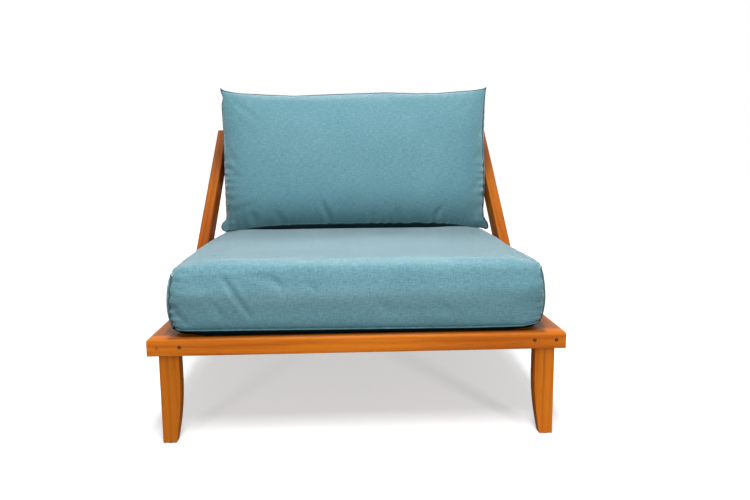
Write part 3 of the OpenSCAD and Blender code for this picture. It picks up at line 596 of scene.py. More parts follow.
class SeatForm:
    """The seat cushion's shape. A square grid is bent to a rounded outline: beyond a corner's centre
    the larger excess is the radius and their ratio the angle, skewed towards the side panel."""

    seam_in = 6 * MM
    side_swell = 9 * MM
    front_swell = 4.5 * MM
    front_foot = 7 * MM
    seam_share = 0.045
    fold_in = 18 * MM
    fold = 13 * MM
    crown = 9 * MM
    puff = 8 * MM
    lift = 10 * MM
    rest_in = 16 * MM
    corner_in = 36 * MM
    corner_reach = 80 * MM
    lift_reach = 70 * MM
    foot_reach = 60 * MM
    side_band = (50 * MM, 10 * MM)
    front_band = (160 * MM, 24 * MM)
    skews = (0.93, 0.67)

    def __init__(self, corner, cell):
        self.corner = corner
        self.low_z = SEAT_LOW[2]
        self.side_z = self.low_z + 120 * MM
        self.centre = (SEAT_LOW + SEAT_HIGH) / 2
        self.half = (SEAT_HIGH - SEAT_LOW)[:2] / 2
        turn = np.radians([0, 22, 42, 62, 90])
        edge = self.seam_in + self.fold_in * (1 - np.cos(turn))
        self.xs = edge_lines(self.half[0], edge, cell)
        self.ys = edge_lines(self.half[1], edge, cell)

    def outline(self, x, y, out):
        """Plan of a grid point, moved out along the outline's normal."""
        centre = self.half - self.corner
        ex, ey = np.abs(x) - centre[0], np.abs(y) - centre[1]
        corner = (ex > 0) & (ey > 0)
        angle = np.arctan2(np.where(x < 0, *self.skews) * np.maximum(ey, 1e-9), np.maximum(ex, 1e-9))
        radius = np.maximum(ex, ey)
        nx = np.where(corner, np.cos(angle), (ex - ey > 0) * 1.0)
        ny = np.where(corner, np.sin(angle), (ex - ey <= 0) * 1.0)
        px = np.where(corner, centre[0] + radius * np.cos(angle), np.abs(x)) + out * nx
        py = np.where(corner, centre[1] + radius * np.sin(angle), np.abs(y)) + out * ny
        return np.sign(x) * px, np.sign(y) * py

    def inset(self, x, y):
        """Distance in from the nearest edge of the grid."""
        return np.minimum(self.half[0] - np.abs(x), self.half[1] - np.abs(y))

    def sideways(self, x):
        """1 beside the left and right edges and 0 further in."""
        return ramp(self.half[0] - np.abs(x), *self.side_band)

    def top_height(self, x, y):
        """Fold up a quarter ellipse, then a crown that flattens to the middle, and a puff between front
        and rear."""
        inset = self.inset(x, y)
        start = self.seam_in + self.fold_in
        fold = self.fold * np.sqrt(1 - (1 - ramp(inset, self.seam_in, start)) ** 2)
        rise = ramp(inset, start, self.half[0])
        puff = 1 - np.abs(y / self.half[1]) ** 4
        return self.side_z + fold + self.crown * (1 - (1 - rise) ** 2.6) + self.puff * puff * fold / self.fold

    def rise(self, x, y):
        """Extra height of the top beside its left, right and front edges, fading towards the middle."""
        side = np.where(x < 0, read(y, SEAT_EDGE_RISE[-1]), read(y, SEAT_EDGE_RISE[1]))
        side = side * np.interp(self.half[0] - np.abs(x), [0, 0.006, 0.024, 0.15], [1, 1, 0.55, 0])
        inset = self.half[1] + y
        front = read(x, SEAT_FRONT_RISE) * np.interp(inset, [0.006, 0.024], [0.65, 1])
        near = ramp(inset, *self.front_band)
        return front * near + side * (1 - near)

    def lift_at(self, x, y):
        """Height of the bottom seam over the deck, which rises towards the two corners of the front."""
        return self.lift + ramp(self.half[1] + y, self.lift_reach, 0) * (read(x, SEAT_FRONT_LIFT) - self.lift)

    def under_height(self, x, y):
        """Flat where it rests, then up to the bottom seam by the square of the way out, from further in at
        the corners of the front."""
        corner = ramp(np.abs(x), 0.31, 0.36) * ramp(self.half[1] + y, self.corner_reach, 0)
        way = ramp(self.inset(x, y), self.rest_in + self.corner_in * corner, self.seam_in)
        return self.low_z + self.lift_at(x, y) * way**2

    def side_out(self, t, x, y):
        """How far a side stands out of its seams, from the bottom seam at 0 to the fold at 1."""
        swell = np.where(y < 0, self.front_swell, self.seam_in)
        swell = swell + (self.side_swell - swell) * self.sideways(x)
        return swell * np.sin(np.pi * t**0.85) ** 0.8

    def foot_out(self, x, y):
        """How far the underside's front border stands out from the fold's."""
        return self.front_foot * ramp(self.half[1] + y, self.foot_reach, 0) * (1 - self.sideways(x))

    def clip(self, points):
        """Keeps the cushion on the deck and its zip band flat."""
        points[:, 2] = np.maximum(points[:, 2], self.low_z)
        band = (np.abs(points[:, 2] - SEAT_ZIP_Z) < 12 * MM) & (points[:, 1] > 0.2)
        points[band, 1] = np.minimum(points[band, 1], SEAT_HIGH[1])
        return points

    def details(self, points, normals):
        """Creases and gathers that the simulation is too coarse for."""
        x, y, z = points.T
        front = ramp(y - self.centre[1] + self.half[1], *self.side_band)
        top = ramp(z - self.side_z, 0, 0.012)
        lift = front * creases(np.stack([x, z], -1), SEAT_FRONT_CREASES)
        lift += top * creases(np.stack([x, y], -1), SEAT_TOP_CREASES)
        side_in = self.half[0] - np.abs(x - self.centre[0])
        depth = np.where(x < 0, 2.2, 1.3) * MM
        lift += depth * front * gathers(z, side_in - 0.004, gap=0.019, reach=0.022, seed=1.3)
        lift += 0.5 * MM * top * gathers(y, side_in - 0.006, gap=0.034, reach=0.030, seed=2.1)
        lift += 0.5 * MM * front * gathers(x, z - self.low_z - self.lift, gap=0.041, reach=0.028, seed=0.4)
        slow = np.sin(7.3 * x + 1.1) * np.sin(5.9 * y + 0.7)
        slow += 0.6 * np.sin(13.1 * x - 0.5) * np.sin(11.7 * y + 2.0)
        lift += 0.6 * MM * top * slow
        return points + normals * lift[:, None]


def seat_mesh(form, cell):
    """Top and underside grids joined by rows round the sides. Returns points, panels and seams, each seam
    with its vertex numbers and whether it closes on itself."""
    x, y = np.meshgrid(form.xs, form.ys, indexing="ij")
    size = x.size
    top = np.arange(size).reshape(x.shape)
    under = top + size
    px, py = form.outline(x.ravel(), y.ravel(), 0.0)
    rise = form.rise(x, y).ravel()
    foot = form.foot_out(x, y).ravel()
    points = [
        np.stack([px, py, form.top_height(x.ravel(), y.ravel()) + rise], -1),
        np.stack([px, py - foot, form.under_height(x.ravel(), y.ravel())], -1),
    ]
    border = rim(top)
    bx, by = x.ravel()[border], y.ravel()[border]
    low_z = form.low_z + form.lift_at(bx, by)
    rows = round((form.side_z - form.low_z - form.lift) / cell)
    loops = [rim(under)]
    for row, t in enumerate([form.seam_share, *(np.arange(1, rows) / rows)]):
        rx, ry = form.outline(bx, by, form.side_out(t, bx, by))
        height = low_z + t * (form.side_z + rise[border] - low_z)
        loops.append(2 * size + row * len(bx) + np.arange(len(bx)))
        points.append(np.stack([rx, ry - (1 - t) * foot[border], height], -1))
    loops.append(border)
    points = np.concatenate(points)
    points[:, :2] += form.centre[:2]
    wall = np.array(loops)
    wall = np.concatenate([wall, wall[:, :1]], 1)
    nx, ny = len(form.xs) - 1, len(form.ys) - 1
    corners = [0, nx, nx + ny, 2 * nx + ny, 2 * nx + 2 * ny]
    panels = {"top": grid_faces(top), "under": grid_faces(under)[:, ::-1]}
    seams = {"bottom": (wall[1, :-1], True)}
    for name, start, end in zip(("front", "right", "rear", "left"), corners, corners[1:]):
        panels[name] = grid_faces(wall[:, start : end + 1].T)
        seam = [wall[:-1, start], wall[-1, start : end + 1], wall[-2::-1, end]]
        if name in ("left", "right"):
            seams[name] = (np.concatenate(seam), False)
    return points, panels, seams


def seat_weave(points, panels, form):
    """Cloth coordinates in metres: the top's run on down the front and rear, the sides have their own."""
    x, y, z = points.T
    front, rear = form.centre[1] - form.half[1], form.centre[1] + form.half[1]
    drop = form.side_z + form.fold - z
    places = {
        "top": np.stack([x, y], -1),
        "front": np.stack([x, front - drop], -1),
        "rear": np.stack([x, rear + drop], -1),
        "under": np.stack([x, y - 2.0], -1),
        "left": np.stack([y, z + 3.0], -1),
        "right": np.stack([y, z + 4.0], -1),
    }
    return np.concatenate([places[name][faces].reshape(-1, 2) for name, faces in panels.items()])


# The tables of the two cushions are in millimetres, apart from shares and turns.
# Along the left and right edges of the seat cushion's top: distance from its middle, extra height
SEAT_EDGE_RISE = {
    -1: [
        (-374, 1), (-340, 3), (-260, 8), (-190, 8), (-80, 11), (50, 12), (370, 10),
    ],
    1: [
        (-374, 6), (-330, 8), (-250, 7), (-90, 5), (40, 11), (160, 12), (370, 12),
    ],
}

# Along the front edge of the seat cushion's top: distance from its middle, extra height
SEAT_FRONT_RISE = [
    (-388, 1.5), (-360, 10), (-325, 13), (-255, 15), (-115, 14), (0, 14), (190, 12), (270, 12), (310, 11),
    (350, 9), (388, 9),
]

# Along the front of the seat cushion: distance from its middle, height of the bottom seam over the deck
SEAT_FRONT_LIFT = [
    (-388, 18), (-376, 16), (-360, 12.5), (-243, 12), (0, 10), (234, 8), (338, 9), (374, 15), (388, 17),
]

# Creases of the seat cushion's front and top: start and end of each, its depth and its width
SEAT_FRONT_CREASES = [
    ((-275, 345), (-212, 258), 3.4, 6), ((-180, 347), (-148, 312), 1.7, 6),
    ((-115, 335), (-70, 305), 1.2, 6), ((-370, 356), (-180, 358), 1.2, 5),
    ((-378, 290), (-345, 250), 3.4, 6), ((-378, 322), (-345, 318), 2.2, 5),
    ((-378, 340), (-350, 333), 2, 5), ((-365, 354), (-330, 350), 1.6, 5),
    ((-235, 352), (-130, 322), 1.5, 8), ((-300, 300), (-262, 250), 1.2, 8), ((20, 300), (75, 262), 1, 9),
    ((150, 290), (205, 255), 1, 9),
]

SEAT_TOP_CREASES = [
    ((-330, -300), (-250, -120), 0.8, 16), ((260, -330), (330, -180), 0.7, 14),
]


class BackForm:
    """The back cushion's shape. Grid places run from -2 to 2: up to 1 they are shares of the face,
    and from 1 to 2 a turn round the edge down to the seam."""

    round = 60 * MM
    stand_in = 7 * MM
    front_powers = (5.0, 2.7)
    rear_powers = (10.0, 6.0)
    lean = 0.25
    ear_power = 24

    def __init__(self, cell):
        self.half = np.array([385 * MM, 202 * MM])
        self.centre_x = (BACK_LOW[0] + BACK_HIGH[0]) / 2
        self.centre_z = BACK_LOW[2] + self.half[1] - self.stand_in
        depth = BACK_HIGH[1] - BACK_LOW[1]
        self.rear, self.front = 0.6 * depth, 0.4 * depth
        self.seam_y = BACK_HIGH[1] - self.rear
        edge = 2 - np.array([0, 7, 15, 24, 34, 45, 57, 69, 80]) / 90
        self.lines = []
        for half in self.half:
            count = round(2 * (half - self.round) / cell)
            self.lines.append(np.concatenate([-edge, np.linspace(-1, 1, count + 1), edge[::-1]]))

    def axis(self, q, along, axis, front):
        """Place on one axis and its angle round the edge, which runs from the seam's own turn to a right
        angle on the face: the distance in from the edge is the rounding by one less the angle's cosine."""
        start = np.zeros(q.shape)
        for sign in (-1, 1):
            turn = BACK_SEAM_TURNS[axis][sign]
            start = np.where(np.sign(q) == sign, np.radians(turn) * (1 - along**6), start)
        way = np.clip(2 - np.abs(q), 0, 1)
        angle = start + way * (front * np.pi / 2 - start)
        inner = self.half[axis] - self.round
        reach = np.where(way < 1, self.half[axis] - self.round * (1 - np.cos(angle)), inner * np.abs(q))
        return np.sign(q) * reach, np.where(way < 1, angle, front * np.pi / 2), 1 - way

    def place(self, qx, qz, front):
        """Points of the front (1) or rear (-1) panel about the cushion's centre. The depth is a product of
        two arches, each the root of one less a power of the share of the way out, and the front's is
        greater below the middle."""
        shares = [self.share(q, axis) for axis, q in enumerate((qx, qz))]
        x, angle_x, near_x = self.axis(qx, np.abs(shares[1]), 0, front)
        z, angle_z, near_z = self.axis(qz, np.abs(shares[0]), 1, front)
        ux, uz = np.abs(x) / self.half[0], np.abs(z) / self.half[1]
        ahead = (angle_x > 0) | (angle_z > 0) if front < 0 else np.ones(x.shape, bool)
        powers = [np.where(ahead, *pair) for pair in zip(self.front_powers, self.rear_powers)]
        arch = np.sqrt((1 - ux ** powers[0]) * (1 - uz ** powers[1]))
        low = 1 - self.lean * z / self.half[1]
        depth = np.where(ahead, -self.front * low, 1.02 * self.rear) * arch
        return self.shape_seam([x, z], depth, shares, (near_x, near_z))

    def share(self, q, axis):
        """Share of the way from the middle to the edge, by the grid place alone."""
        inner = 1 - self.round / self.half[axis]
        edge = np.cos(np.clip(2 - np.abs(q), 0, 1) * np.pi / 2) * (1 - inner) + inner
        return np.where(np.abs(q) <= 1, q * inner, np.sign(q) * edge)

    def shape_seam(self, place, depth, shares, nearness):
        """Moves the seam to its measured outline and pulls out the corners' ears, less and less further
        in. Returns points."""
        for axis, tables in enumerate((BACK_SIDES, BACK_ENDS)):
            for sign, table in tables.items():
                at, out, ahead = np.array(table).T
                side = MM * nearness[axis] ** 2 * (sign * shares[axis] > 0)
                place[axis] = place[axis] + sign * side * np.interp(shares[1 - axis], at, out)
                depth = depth - side * np.interp(shares[1 - axis], at, ahead)
        corner = MM * np.abs(shares[0] * shares[1]) ** self.ear_power
        for signs, outs in BACK_EARS.items():
            ear = corner * (shares[0] * signs[0] > 0) * (shares[1] * signs[1] > 0)
            place = [part + ear * out for part, out in zip(place, outs)]
        return np.stack([place[0], depth, place[1]], -1)

    def weave_lines(self, axis, depth):
        """Unrolled place of each grid line, the edge's length along a quarter ellipse included."""
        q = self.lines[axis]
        turn = np.clip(2 - np.abs(q), 0, 1) * np.pi / 2
        steps = np.hypot(np.diff(self.share(q, axis) * self.half[axis]), np.diff(depth * np.sin(turn)))
        place = np.concatenate([[0], np.cumsum(steps)])
        return place - place[-1] / 2

    def clip(self, points):
        """Keeps the cushion in front of the back slats and on the seat cushion."""
        points[:, 1] = np.minimum(points[:, 1], BACK_HIGH[1])
        points[:, 2] = np.maximum(points[:, 2], BACK_LOW[2])
        return points

    def details(self, points, normals):
        """Creases and gathers that the simulation is too coarse for."""
        x, y, z = points.T
        face = ramp(self.seam_y - y, 0, 0.015)
        lift = face * creases(np.stack([x, z], -1), BACK_CREASES)
        side_in = self.half[0] - np.abs(x - self.centre_x)
        end_in = self.half[1] - np.abs(z - self.centre_z) - 18 * MM * (z < self.centre_z)
        lift += 1.35 * MM * gathers(z, side_in, gap=0.025, reach=0.034, seed=0.7)
        foot = 0.8 + 1.6 * ramp(self.centre_z - z, 0, 0.1)
        lift += foot * MM * gathers(x, end_in, gap=0.029, reach=0.034, seed=1.9)
        slow = np.sin(6.1 * x + 0.4) * np.sin(8.3 * z + 1.9) + 0.5 * np.sin(14.7 * x + 2.0) * np.sin(12.9 * z)
        lift += 0.8 * MM * face * slow
        return points + normals * lift[:, None]


# Turn of the back cushion's seam towards the front, in degrees, on each side of each axis
BACK_SEAM_TURNS = [{-1: 2.0, 1: 33.0}, {-1: 54.0, 1: 4.0}]

# Along each upright side of the back cushion: share of the height, distance out, distance forward
BACK_SIDES = {
    -1: [
        (-1, -14, 30), (-0.99, -8, 31), (-0.974, -1, 31), (-0.95, 6, 32), (-0.913, 10, 31),
        (-0.865, 6, 26), (-0.81, -6, 16), (-0.75, -5, 8), (-0.6, -2, 0), (-0.2, -2, 0), (0.5, -3, 0),
        (0.81, -1, 0), (0.865, -2, 0), (0.913, -7, 0), (0.95, -5, 0), (0.974, 0, 0), (1, 0, 0),
    ],
    1: [
        (-1, -12, 45), (-0.99, -3, 46), (-0.974, 1, 47), (-0.95, 4, 50), (-0.913, 5, 48), (-0.865, 3, 44),
        (-0.81, -6, 30), (-0.754, -4, 15), (-0.6, 2, 0), (-0.2, 3, 0), (0.4, -2, 0), (0.75, 0, 0),
        (0.93, -1, 0), (1, 0, 0),
    ],
}

# Along the bottom and the top of the back cushion: share of the width, distance out, distance forward
BACK_ENDS = {
    -1: [
        (-1, -2, 15), (-0.9, -1, 8), (-0.6, 0, 0), (0.6, 0, 0), (0.9, -1, 10), (1, -3, 20),
    ],
    1: [
        (-1, 2, 0), (-0.94, 2, 0), (-0.86, -1, 0), (-0.67, -5, 0), (-0.45, -9, 0), (-0.18, -5, 0),
        (0.23, 0, 0), (0.45, -3, 0), (0.62, -3, 0), (0.82, 3, 0), (0.95, 5, 0), (1, 3, 0),
    ],
}

# Ears of the back cushion's upper corners: distance out sideways and up
BACK_EARS = {(-1, 1): (0, 11), (1, 1): (1, 10)}

# Creases of the back cushion's front: start and end of each, its depth and its width
BACK_CREASES = [
    ((-94, 455), (-66, 385), 4.2, 8), ((258, 438), (224, 380), 4, 8), ((-230, 430), (-205, 385), 2.6, 11),
    ((-300, 425), (-275, 388), 2.2, 11), ((60, 425), (52, 385), 2.2, 9), ((130, 430), (118, 385), 2.4, 9),
    ((-368, 618), (-335, 556), 2.4, 8), ((-372, 560), (-330, 520), 2, 8),
    ((383, 526), (336, 463), 1.8, 8), ((383, 600), (345, 560), 1.3, 8),
    ((-340, 735), (-290, 700), 1.5, 9), ((350, 740), (300, 700), 1.5, 9),
    ((-345, 420), (-290, 450), 1.6, 9),
]


def back_mesh(form):
    """Front and rear grids that share the seam. Returns points, panels, cloth places and the seam's loop."""
    qx, qz = np.meshgrid(*form.lines, indexing="ij")
    front = np.arange(qx.size).reshape(qx.shape)
    rear = front.copy()
    inside = np.zeros(qx.shape, bool)
    inside[1:-1, 1:-1] = True
    rear[inside] = qx.size + np.arange(inside.sum())
    points = np.concatenate([form.place(qx.ravel(), qz.ravel(), 1), form.place(qx[inside], qz[inside], -1)])
    points += np.array([form.centre_x, form.seam_y, form.centre_z])
    panels = {"front": grid_faces(front), "rear": grid_faces(rear)[:, ::-1]}
    weave = []
    for depth, shift, flip in ((form.front, 0, 1), (form.rear, 3, -1)):
        u, v = np.meshgrid(form.weave_lines(0, depth), form.weave_lines(1, depth), indexing="ij")
        corners = grid_faces(np.arange(qx.size).reshape(qx.shape))[:, ::flip]
        weave.append(np.stack([u.ravel(), v.ravel() + shift], -1)[corners].reshape(-1, 2))
    return points, panels, np.concatenate(weave), rim(front)


def finer(path, closed, parts=3):
    """A path carried smoothly through its points, with each step in parts, by Catmull-Rom curves."""
    t = (np.arange(parts) / parts)[None, :, None]
    p0, p1, p2, p3 = (shifted(path, steps, closed)[:, None] for steps in (-1, 0, 1, 2))
    curve = 0.5 * (2 * p1 + (p2 - p0) * t + (2 * p0 - 5 * p1 + 4 * p2 - p3) * t**2)
    curve = curve + 0.5 * (3 * p1 - p0 - 3 * p2 + p3) * t**3
    curve = curve.reshape(-1, 3)
    return curve if closed else curve[: 1 - parts or None]


def near(points, path, reach):
    """Distance of each point from the nearest point of a path, worked out in slices, up to the reach."""
    away = np.full(len(points), reach)
    box = (points > path.min(0) - reach).all(1) & (points < path.max(0) + reach).all(1)
    inside = np.flatnonzero(box)
    for part in np.array_split(inside, max(1, len(inside) // 4000)):
        if len(part):
            gap = np.linalg.norm(points[part, None] - path[None], axis=2)
            away[part] = np.minimum(away[part], gap.min(1))
    return away


def sunk(points, normals, paths, depth):
    """Sinks the cloth on both sides of each seam: depth by the bell of the distance."""
    reach = 20 * MM
    away = np.full(len(points), reach)
    for path in paths:
        away = np.minimum(away, near(points, path, reach))
    sink = depth * (np.exp(-((away / 0.0035) ** 2)) + 0.5 * np.exp(-((away / 0.009) ** 2)))
    return points - normals * sink[:, None]


def patch(piece, faces, finish):
    """Gives some faces of a piece a second material."""
    piece.data.materials.append(finish.material)
    piece.data.polygons.foreach_set("material_index", faces.astype(np.int32))


def sew(stem, piece, form, seams, finish):
    """Subdivides a cover, adds its creases and gathers, sinks its seams and lays their turned edges."""
    look = bpy.context.scene.chair_cushions
    set_vertices(piece.data, form.clip(vertex_values(piece.data)))
    subdivide(piece)
    normals = vertex_values(piece.data, "normal")
    points = form.details(vertex_values(piece.data), normals)
    curves = {}
    for name, (ids, closed) in seams.items():
        curves[name] = finer(points[ids], closed), finer(normals[ids], closed)
    points = sunk(points, normals, [path for path, _ in curves.values()], look.seam_depth)
    set_vertices(piece.data, form.clip(points))
    for name, (path, up) in curves.items():
        path = path - up * look.seam_depth
        welt_along(f"{stem}_{name}_welt", path, up, look.welt, seams[name][1], finish, f"{stem}_cushion")


class CHAIR_OT_timber(bpy.types.Operator):
    """Stains the boards, slats, legs and braces, each with the grain along its length"""

    bl_idname = "chair.timber"
    bl_label = "Stain the timber"

    def execute(self, context):
        slope = context.scene.chair_timber.brace_angle
        # The rail carries a painted shade on its top edge, for the seat cushion's shadow
        rail = timber_finish("timber_rail", (0, 0, 0), 0.98, RAIL_PAINTED_SHADE)
        dress(["front_rail", "rear_rail"], rail)
        slats = numbered("seat_slat_") + numbered("back_slat_")
        dress(slats, timber_finish("timber_slat", (0, 0, 0), 0.8))
        deep = ["side_board_left", "side_board_right", "bearer_left", "bearer_right", "bearer_centre"]
        dress(deep, timber_finish("timber_deep", (0, 0, -QUARTER), 0.6))
        # Painted light: the left and right uprights take lit and shaded copies of one stain, the left ones
        # darker
        for side, tint in (("left", 0.78), ("right", 0.96)):
            upright = [f"front_leg_{side}", f"rear_leg_{side}", f"post_{side}"]
            dress(upright, timber_finish(f"timber_upright_{side}", (0, QUARTER, 0), tint))
        dress(["leg_dowels", "bearer_dowels"], timber_finish("timber_dowel", (0, QUARTER, 0)))
        # The braces carry a painted shade, darker towards their tops, for less light there
        sloped = timber_finish("timber_sloped", (-slope, 0, -QUARTER), 0.76, BRACE_PAINTED_SHADE)
        dress(["brace_left", "brace_right"], sloped)
        dress(["rail_plugs"], plug_finish())
        return {"FINISHED"}


class CHAIR_OT_hardware(bpy.types.Operator):
    """Finishes the screws, bolts, washers, nuts, inserts and glides"""

    bl_idname = "chair.hardware"
    bl_label = "Finish the hardware"

    def execute(self, context):
        steel = metal_finish("steel_brushed", "stainless", (0.56, 0.56, 0.55), 0.28)
        words = ("screws", "bolts", "washers", "nuts", "inserts")
        dress([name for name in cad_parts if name.endswith(words)], steel)
        dress(["foot_glides"], plastic_finish("glide_black", "glide_plastic", (0.018, 0.018, 0.019), 0.45))
        return {"FINISHED"}


class CHAIR_OT_seat_cushion(bpy.types.Operator):
    """Makes the seat cushion's cover and the turned edges along its seams"""

    bl_idname = "chair.seat_cushion"
    bl_label = "Make the seat cushion"

    def execute(self, context):
        look = context.scene.chair_cushions
        form = SeatForm(look.corner, look.cell)
        points, panels, seams = seat_mesh(form, look.cell)
        faces = np.concatenate(list(panels.values()))
        # The seat cushion's cloth carries painted shade in a band below its front fold
        finish = cloth_finish("heather_canvas", contrast=0.9, painted_shades=SEAT_PAINTED_SHADES)
        # Painted shade: darker turned edges, for the shadow in the seams' grooves
        edge = cloth_finish("seam_edge_painted_shade", tint=look.seam_painted_shade, gloss=0.0)
        # Painted shadow: the underside is near-black cloth, for the shade in the slot under the cushion's
        # front
        under = cloth_finish("underside_painted_shadow", tint=0.03, gloss=0.0)
        weave = seat_weave(points, panels, form)
        piece = make_piece("seat_cushion_cover", points, faces, weave, finish, "seat_cushion")
        painted_shadow_faces = np.repeat([name == "under" for name in panels], [len(panel) for panel in panels.values()])
        patch(piece, painted_shadow_faces, under)
        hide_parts("seat_cover", "seat_foam")
        resting = points[:, 2] < form.low_z + 0.5 * MM
        rear = points[:, 1] > form.centre[1] + form.half[1] - 0.004
        sewn = [ids for ids, _ in seams.values()]
        pinned = np.unique(np.concatenate([np.flatnonzero(resting | rear), *sewn]))
        inflate(piece, points, pinned, pinned, reach=0.028, cap=look.seat_swell, slack=0.01)
        sew("seat", piece, form, seams, edge)
        return {"FINISHED"}


class CHAIR_OT_back_cushion(bpy.types.Operator):
    """Makes the back cushion's cover and the turned edge along its seam"""

    bl_idname = "chair.back_cushion"
    bl_label = "Make the back cushion"

    def execute(self, context):
        look = context.scene.chair_cushions
        form = BackForm(look.cell)
        points, panels, weave, seam = back_mesh(form)
        faces = np.concatenate(list(panels.values()))
        points = form.clip(relax(points, faces, seam, rounds=5))
        # Painted light: a lighter copy of the seat cushion's cloth, brightened by the tint for how this
        # cushion is lit; its painted shades darken it towards its foot
        finish = cloth_finish("heather_canvas_back", tint=1.07, contrast=0.7, gloss=0.9, painted_shades=BACK_PAINTED_SHADES)
        # Painted shade: darker turned edges, for the shadow in the seam's groove
        edge = cloth_finish("back_seam_edge_painted_shade", tint=0.6 * look.seam_painted_shade, gloss=0.0)
        # Painted shadow: a near-black strip behind the lower seam, for the shade where the cushion meets the
        # seat
        foot = cloth_finish("back_foot_painted_shadow", tint=0.12, gloss=0.0)
        piece = make_piece("back_cushion_cover", points, faces, weave, finish, "back_cushion")
        middles = points[faces].mean(1)
        painted_shadow_faces = (middles[:, 1] < form.seam_y + 0.03) & (middles[:, 2] < BACK_LOW[2] + 0.028)
        painted_shadow_faces[: len(panels["front"])] = False
        patch(piece, painted_shadow_faces, foot)
        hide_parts("back_cover", "back_fill")
        flat = np.flatnonzero(points[:, 1] > BACK_HIGH[1] - 1 * MM)
        pinned = np.unique(np.concatenate([flat, seam]))
        inflate(piece, points, pinned, seam, reach=0.045, cap=look.back_swell, slack=0.04)
        sew("back", piece, form, {"seam": (seam, True)}, edge)
        return {"FINISHED"}


class CHAIR_OT_zips(bpy.types.Operator):
    """Finishes the zips' tape, teeth, sliders and pullers"""

    bl_idname = "chair.zips"
    bl_label = "Finish the zips"

    def execute(self, context):
        dress(["seat_zip", "back_zip"], teeth_finish())
        dark = metal_finish("zip_slider_metal", "zip_metal", (0.30, 0.30, 0.31), 0.3)
        dress([f"{end}_zip_{part}" for end in ("seat", "back") for part in ("slider", "puller")], dark)
        return {"FINISHED"}


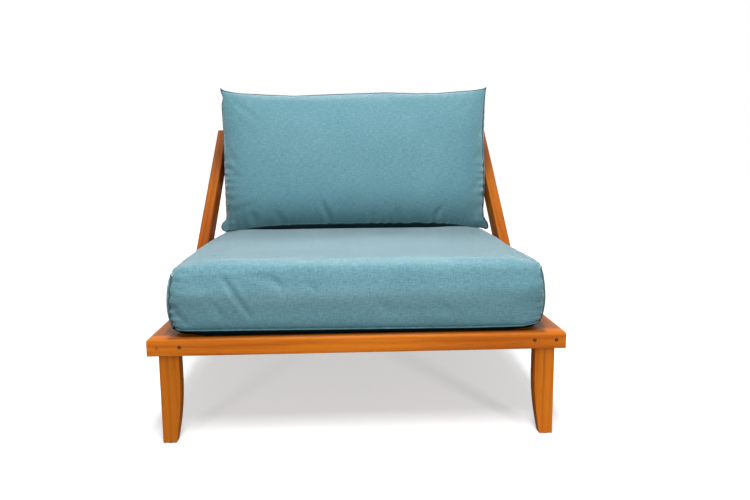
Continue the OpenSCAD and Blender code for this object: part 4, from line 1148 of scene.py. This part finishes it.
class CHAIR_OT_stage(bpy.types.Operator):
    """Lays the floor, hangs the lamps and sets up the camera"""

    bl_idname = "chair.stage"
    bl_label = "Set the stage"

    def execute(self, context):
        look = context.scene.chair_stage
        self.floor(look)
        self.world(look)
        for name, place, aim, size, power in LAMPS:
            self.lamp(name, place, aim, size, power)
        self.camera(look)
        context.scene.view_settings.view_transform = "Standard"
        return {"FINISHED"}

    def floor(self, look):
        """A square under the chair, lit by the lamps and lifted towards white for the camera only."""
        reach = FLOOR_REACH
        corners = [(-reach, -reach, 0), (reach, -reach, 0), (reach, reach, 0), (-reach, reach, 0)]
        mesh = bpy.data.meshes.new("floor")
        mesh.from_pydata(corners, [], [(0, 1, 2, 3)])
        ground = shown_object("floor", mesh)
        finish = Finish("floor_pale", "")
        x, y, _ = finish.parts(finish.place())
        far = (x * x + y * y).root().between(*FLOOR_FADE)
        seen = finish.rays("Is Camera Ray")
        glow = finish.mix(far, [look.glow] * 3, (1.0, 1.0, 1.0))
        finish.set(
            Base_Color=finish.mix(seen, look.bounce, look.floor),
            Roughness=1.0,
            Specular_IOR_Level=0.0,
            Emission_Color=finish.mix(seen, (0.0, 0.0, 0.0), glow),
            Emission_Strength=1.0,
        )
        mesh.materials.append(finish.material)

    def world(self, look):
        """Even light from all sides, shown white to the camera and to mirrors."""
        world = bpy.data.worlds.new("studio")
        world.use_nodes = True
        nodes = world.node_tree.nodes
        sky = Shading(world.node_tree)
        white = (1, 1, 1, 1)
        shown = sky.node("ShaderNodeBackground", None, {"Color": white})
        sky.fill(nodes["Background"], {"Color": white, "Strength": look.sky})
        even = Value(sky, nodes["Background"].outputs[0])
        camera = sky.rays("Is Camera Ray")
        seen = camera.math("MAXIMUM", camera, sky.rays("Is Glossy Ray"))
        mix = sky.node("ShaderNodeMixShader", None, {0: seen, 1: even, 2: shown})
        sky.fill(nodes["World Output"], {"Surface": mix})
        bpy.context.scene.world = world

    def lamp(self, name, place, aim, size, power):
        """An area lamp at a place, turned to its aim."""
        data = bpy.data.lights.new(name, "AREA")
        data.shape = "RECTANGLE"
        data.size, data.size_y, data.energy = *size, power
        lamp = shown_object(name, data)
        lamp.location = place
        lamp.rotation_euler = (Vector(aim) - Vector(place)).to_track_quat("-Z", "Y").to_euler()

    def camera(self, look):
        """The camera at the photograph's place: turned to the right, tipped down and rolled a little."""
        yaw, tip, roll = CAMERA_TURN
        ahead = np.array([math.sin(yaw) * math.cos(tip), math.cos(yaw) * math.cos(tip), -math.sin(tip)])
        right = np.array([math.cos(yaw), -math.sin(yaw), 0])
        up = np.cross(right, ahead)
        side = math.cos(roll) * right + math.sin(roll) * up
        top = math.cos(roll) * up - math.sin(roll) * right
        data = bpy.data.cameras.new("camera")
        data.sensor_width, data.lens = SENSOR_WIDTH, look.lens
        camera = shown_object("camera", data)
        matrix = np.eye(4)
        matrix[:3] = np.stack([side, top, -ahead, CAMERA_PLACE], -1)
        camera.matrix_world = Matrix(matrix.tolist())
        bpy.context.scene.camera = camera


CAMERA_PLACE = (-0.0209, -1.7211, 0.5812)
CAMERA_TURN = (0.04238, 0.14203, -0.00853)

# Lamps: name, place, aim, width and height, power
LAMPS = [
    ("key", (0.0, -1.36, 2.4), (0.0, -0.9, 0.0), (0.45, 1.65), 74.0),
    ("back", (0.0, 1.6, 2.6), (0.0, -0.2, 0.4), (1.0, 0.6), 48.0),
    ("front_left", (-1.54, -3.66, 1.0), (0.0, -0.2, 0.2), (0.45, 0.3), 26.0),
    ("front_right", (1.78, -3.55, 1.0), (0.0, -0.2, 0.2), (0.45, 0.3), 52.0),
]

OPERATORS = [
    CHAIR_OT_timber,
    CHAIR_OT_hardware,
    CHAIR_OT_seat_cushion,
    CHAIR_OT_back_cushion,
    CHAIR_OT_zips,
    CHAIR_OT_stage,
]


class CHAIR_PT_panel(bpy.types.Panel):
    """Steps that make the chair, in order"""

    bl_idname = "CHAIR_PT_panel"
    bl_label = "Outdoor lounge chair"
    bl_space_type = "VIEW_3D"
    bl_region_type = "UI"
    bl_category = "Chair"

    def draw(self, context):
        for operator in OPERATORS:
            self.layout.operator(operator.bl_idname)
        for name, group in PROPERTY_GROUPS.items():
            box = self.layout.box()
            for key in group.__annotations__:
                box.prop(getattr(context.scene, name), key)


def register():
    for item in [*PROPERTY_GROUPS.values(), *OPERATORS, CHAIR_PT_panel]:
        bpy.utils.register_class(item)
    for name, group in PROPERTY_GROUPS.items():
        setattr(bpy.types.Scene, name, bpy.props.PointerProperty(type=group))


def unregister():
    for name in PROPERTY_GROUPS:
        delattr(bpy.types.Scene, name)
    for item in reversed([*PROPERTY_GROUPS.values(), *OPERATORS, CHAIR_PT_panel]):
        bpy.utils.unregister_class(item)


def main():
    """Registers the add-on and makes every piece."""
    register()
    for operator in OPERATORS:
        group, name = operator.bl_idname.split(".")
        getattr(getattr(bpy.ops, group), name)()


if __name__ == "__main__":
    main()
